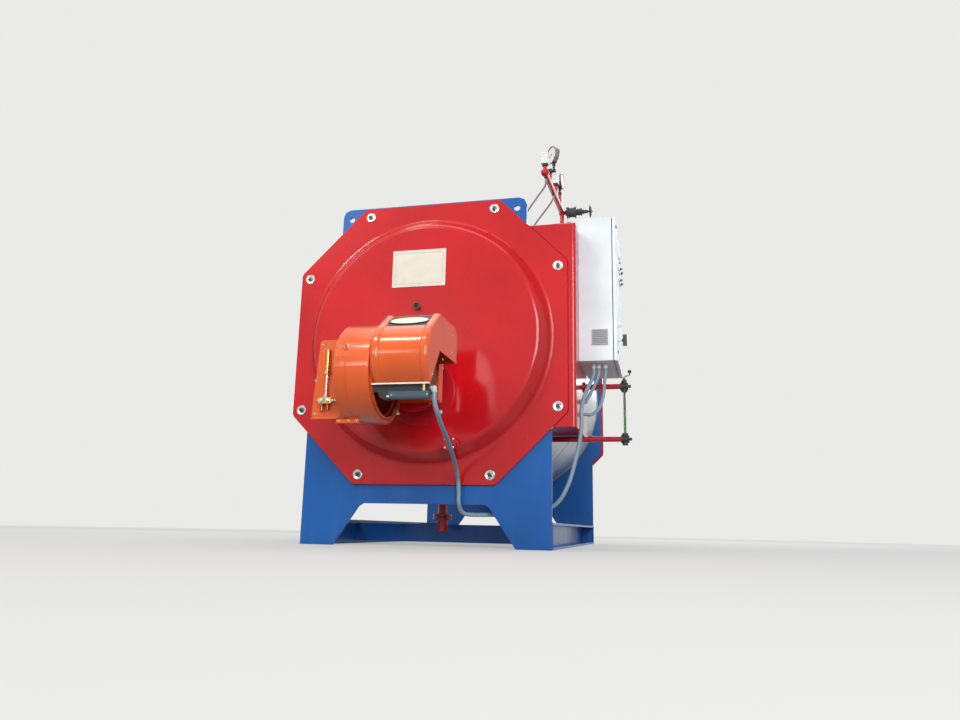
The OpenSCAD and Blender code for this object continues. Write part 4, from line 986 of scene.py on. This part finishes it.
def add_manifold_details():
    """Nuts and weld rings on the manifold, covers and knobs of the two switches."""
    welds, nuts, covers = Shape(), Shape(), Shape()
    for s, r in ((0.22, 0.0108), (0.43, 0.0128), (0.60, 0.0118)):
        welds.stand(on_header(s, 0.0, 0.0165)).torus(r, 0.0028, 0.001, 40)
    welds.stand(at(*RISER)).torus(0.0152, 0.003, 0.0, 40)
    welds.make("manifold_welds", "pipe_red")
    for s, aside, low, r in (
            (0.03, 0.0, 0.043, 0.0185), (0.43, 0.0, 0.090, 0.0180), (0.60, 0.0, 0.098, 0.0140),
            (0.60, 0.0, 0.128, 0.0105), (0.22, 0.024, 0.136, 0.0115)):
        nuts.stand(on_header(s, aside)).nut(r, low, low + 0.011)
    nuts.stand(on_header(0.22, 0.036, 0.097), "right").disc(0.012, -0.006, 0.002, 0.001)
    nuts.make("manifold_nuts", "cock_black")
    knobs = Shape()
    for s, half_x, half_y, low, high in (
            (0.03, 0.023, 0.022, 0.056, 0.130), (0.43, 0.019, 0.018, 0.104, 0.174)):
        covers.stand(on_header(s), Matrix.Rotation(HEADER_TURN, 4, "Z"))
        for grow, z0, z1, edge in ((0.0012, high - 0.012, high + 0.0022, 0.002),
                                   (0.0010, low - 0.001, low + 0.008, 0.0015)):
            x, y = half_x + grow, half_y + grow
            covers.block((-x, -y, z0), (x, y, z1), edge)
        knobs.stand(on_header(s, 0.0, high + 0.0022))
        knobs.lathe([(0.0085, -0.001), (0.008, 0.005), (0.006, 0.0065), (0.0, 0.007)], 24)
    covers.make("switch_covers", "switch_white")
    knobs.make("switch_knobs", "control_black")


def add_valve_details():
    """Nuts of the stop valve, and the one that holds its handwheel."""
    x, y, z = VALVE
    nuts = Shape().stand(at(x, y, z), "right")
    nuts.nut(0.0262, 0.0755, 0.0985).nut(0.0185, 0.1115, 0.122)
    for a in range(45, 360, 90):
        dy, dz = polar(0.0355, a)
        nuts.stand(at(x + 0.0148, y + dy, z + dz), "right").nut(0.0062, 0.0, 0.0062)
        nuts.stand(at(x + 0.0622, y + dy, z + dz), "left").nut(0.0062, 0.0, 0.0062)
        nuts.stand(at(x + 0.0042, y + dy, z + dz), "left").nut(0.0062, 0.0, 0.0050)
    nuts.make("valve_nuts", "valve_grey")
    cap = Shape().stand(at(VALVE_WHEEL_X, y, z), "right").nut(0.0105, 0.0142, 0.0210)
    cap.make("wheel_nut", "bright_zinc", body="handwheel")


def add_level_details():
    """Packing nuts, guard rods, handles, and the coloured line of the level glass."""
    x, y = LEVEL
    nuts, rods = Shape(), Shape()
    for z, sign in ((LEVEL_Z[0], 1), (LEVEL_Z[1], -1)):
        nuts.stand(at(x, y, z), "up" if sign > 0 else "down")
        nuts.nut(0.0195, 0.026, 0.0375).nut(0.0185, -0.040, -0.031)
        nuts.stand(at(x, y, z), "right").nut(0.0275, -0.0255, -0.012).nut(0.0262, 0.012, 0.0245)
        nuts.block((-0.004, -0.021, 0.0385), (0.004, 0.021, 0.0435), 0.0015)
    for dy in (-0.0145, 0.0145):
        rods.stand(at(x, y + dy, 0))
        rods.disc(0.0028, LEVEL_Z[0] + 0.030, LEVEL_Z[1] - 0.030, 0.0004, 14)
    nuts.make("level_nuts", "cock_black")
    rods.make("level_guards", "cock_black", "dark_steel")
    line = Shape().stand(at(x - 0.0058, y - 0.0072, 0))
    line.disc(0.0024, LEVEL_Z[0] + 0.039, LEVEL_Z[1] - 0.039, 0.0004, 14)
    line.make("level_line", "sight_glass", "level_green")
    flanges = Shape()
    for a in range(45, 360, 90):
        dy, dz = polar(0.027, a)
        flanges.stand(at(0.962, y + dy, LEVEL_Z[1] + dz), "right").bolt(0.0048)
    flanges.make("level_bolts", "bright_zinc")


def add_housing_screws():
    screws = Shape()
    for z in (0.76, 0.90, 1.10):
        screws.stand(at(HOUSING_SIDE, 0.625, z), "right").screw(0.0045)
    for x in (0.62, 0.76, 0.90):
        screws.stand(at(x, 0.622, HOUSING_TOP), "up").screw(0.0045)
    screws.make("housing_screws", "boiler_red")


# Stage

PALE = (0.82, 0.82, 0.81)          # of the backdrop and what shines in the paint
SKY = (0.85, 0.88, 0.92)
FLOOR_NEAR = (0.70, 0.70, 0.69)
FLOOR_LIT = (0.26, 0.26, 0.26)     # of the light that the floor throws back
FLOOR_HALF = 90.0
FADE = (4.0, 13.0)                 # metres from the middle over which the floor turns pale
WHITE, WARM = (1.0, 1.0, 1.0), (1.0, 0.92, 0.78)
MIDDLE, BURNER = (0.0, 0.0, 1.2), (0.1, -0.9, 1.0)
LAMPS = (              # name, place, what it points at, size, watts, colour
    ("key", (-4.8, -6.4, 5.8), (0.0, -0.8, 1.2), (1.6, 1.3), 145.0, (1.0, 0.97, 0.93)),
    ("fill", (3.4, -8.2, 3.2), MIDDLE, (4.0, 3.0), 400.0, (0.97, 0.98, 1.0)),
    ("strip", (-1.8, -4.5, 5.4), BURNER, (0.75, 0.6), 52.0, WARM),
    ("strip", (-2.0, -6.5, 2.4), BURNER, (0.75, 0.6), 12.0, WARM),
    ("top", (0.0, 0.5, 6.5), MIDDLE, (5.0, 7.0), 135.0, WHITE),
    ("rear", (2.5, 7.5, 4.5), MIDDLE, (5.0, 4.0), 300.0, WHITE),
    ("rear_left", (-6.0, 3.5, 3.5), MIDDLE, (4.0, 3.0), 110.0, WHITE),
)


def backdrop_material(name):
    """Pale to the camera and in reflections, darker in the light it throws back. It keeps the
    object's shadow near the middle and takes the sky's tone far out."""
    g = Graph(name)
    rays = g.seen_rays()
    g.set(color=g.mix(rays, FLOOR_LIT, tone(FLOOR_NEAR, 0.9)), rough=0.9, specular=0.0)
    away = g.add("ShaderNodeVectorMath", operation="LENGTH")
    g.link(g.place, away.inputs[0])
    far = g.span(away.outputs["Value"], *FADE)
    glow = g.add("ShaderNodeEmission")
    g.link(g.mix(far, FLOOR_NEAR, PALE), glow.inputs["Color"])
    share = g.math("MULTIPLY", rays, g.math("ADD", 0.5, g.math("MULTIPLY", far, 0.5)))
    both = g.blend(share, g.bsdf.outputs[0], glow.outputs[0])
    g.link(both, g.tree.nodes["Material Output"].inputs["Surface"])
    return g.mat


def add_floor():
    mesh = bpy.data.meshes.new("floor")
    square = [(-FLOOR_HALF, -FLOOR_HALF, 0), (FLOOR_HALF, -FLOOR_HALF, 0),
              (FLOOR_HALF, FLOOR_HALF, 0), (-FLOOR_HALF, FLOOR_HALF, 0)]
    mesh.from_pydata(square, [], [(0, 1, 2, 3)])
    floor = bpy.data.objects.new("floor", mesh)
    bpy.context.collection.objects.link(floor)
    mesh.materials.append(backdrop_material("m_floor"))


def add_world():
    world = bpy.data.worlds.new("world")
    bpy.context.scene.world = world
    world.use_nodes = True
    sky = Tree(world.node_tree)
    lit = sky.tree.nodes["Background"]
    seen = sky.add("ShaderNodeBackground")
    for back, color, strength in ((lit, SKY, 0.5), (seen, PALE, 1.0)):
        sky.feed(back.inputs["Color"], color)
        sky.feed(back.inputs["Strength"], strength)
    both = sky.blend(sky.seen_rays(), lit.outputs[0], seen.outputs[0])
    sky.link(both, sky.tree.nodes["World Output"].inputs["Surface"])


def add_lamps():
    for name, place, look, size, watts, color in LAMPS:
        data = bpy.data.lights.new(name, "AREA")
        data.shape = "RECTANGLE"
        data.size, data.size_y = size
        data.energy = watts
        data.color = color
        lamp = bpy.data.objects.new(name, data)
        bpy.context.collection.objects.link(lamp)
        lamp.location = place
        aim = Vector(look) - Vector(place)
        lamp.rotation_euler = aim.to_track_quat("-Z", "Y").to_euler()


bpy.context.scene.view_settings.view_transform = "Standard"
add_camera()
finishes = make_finishes()
dress_nodes()
add_door_bolts()
add_name_plate()
add_sight_and_port()
add_frame_welds()
add_jacket_seams()
add_nozzle_rosettes()
add_rear_details()
add_scroll_details()
add_head_details()
add_oil_fittings()
add_hood_details()
add_fan_details()
add_motor_cover()
add_conduits()
add_cabinet_details()
add_door_details()
add_gauge_faces()
add_manifold_details()
add_valve_details()
add_level_details()
add_housing_screws()
add_floor()
add_world()
add_lamps()
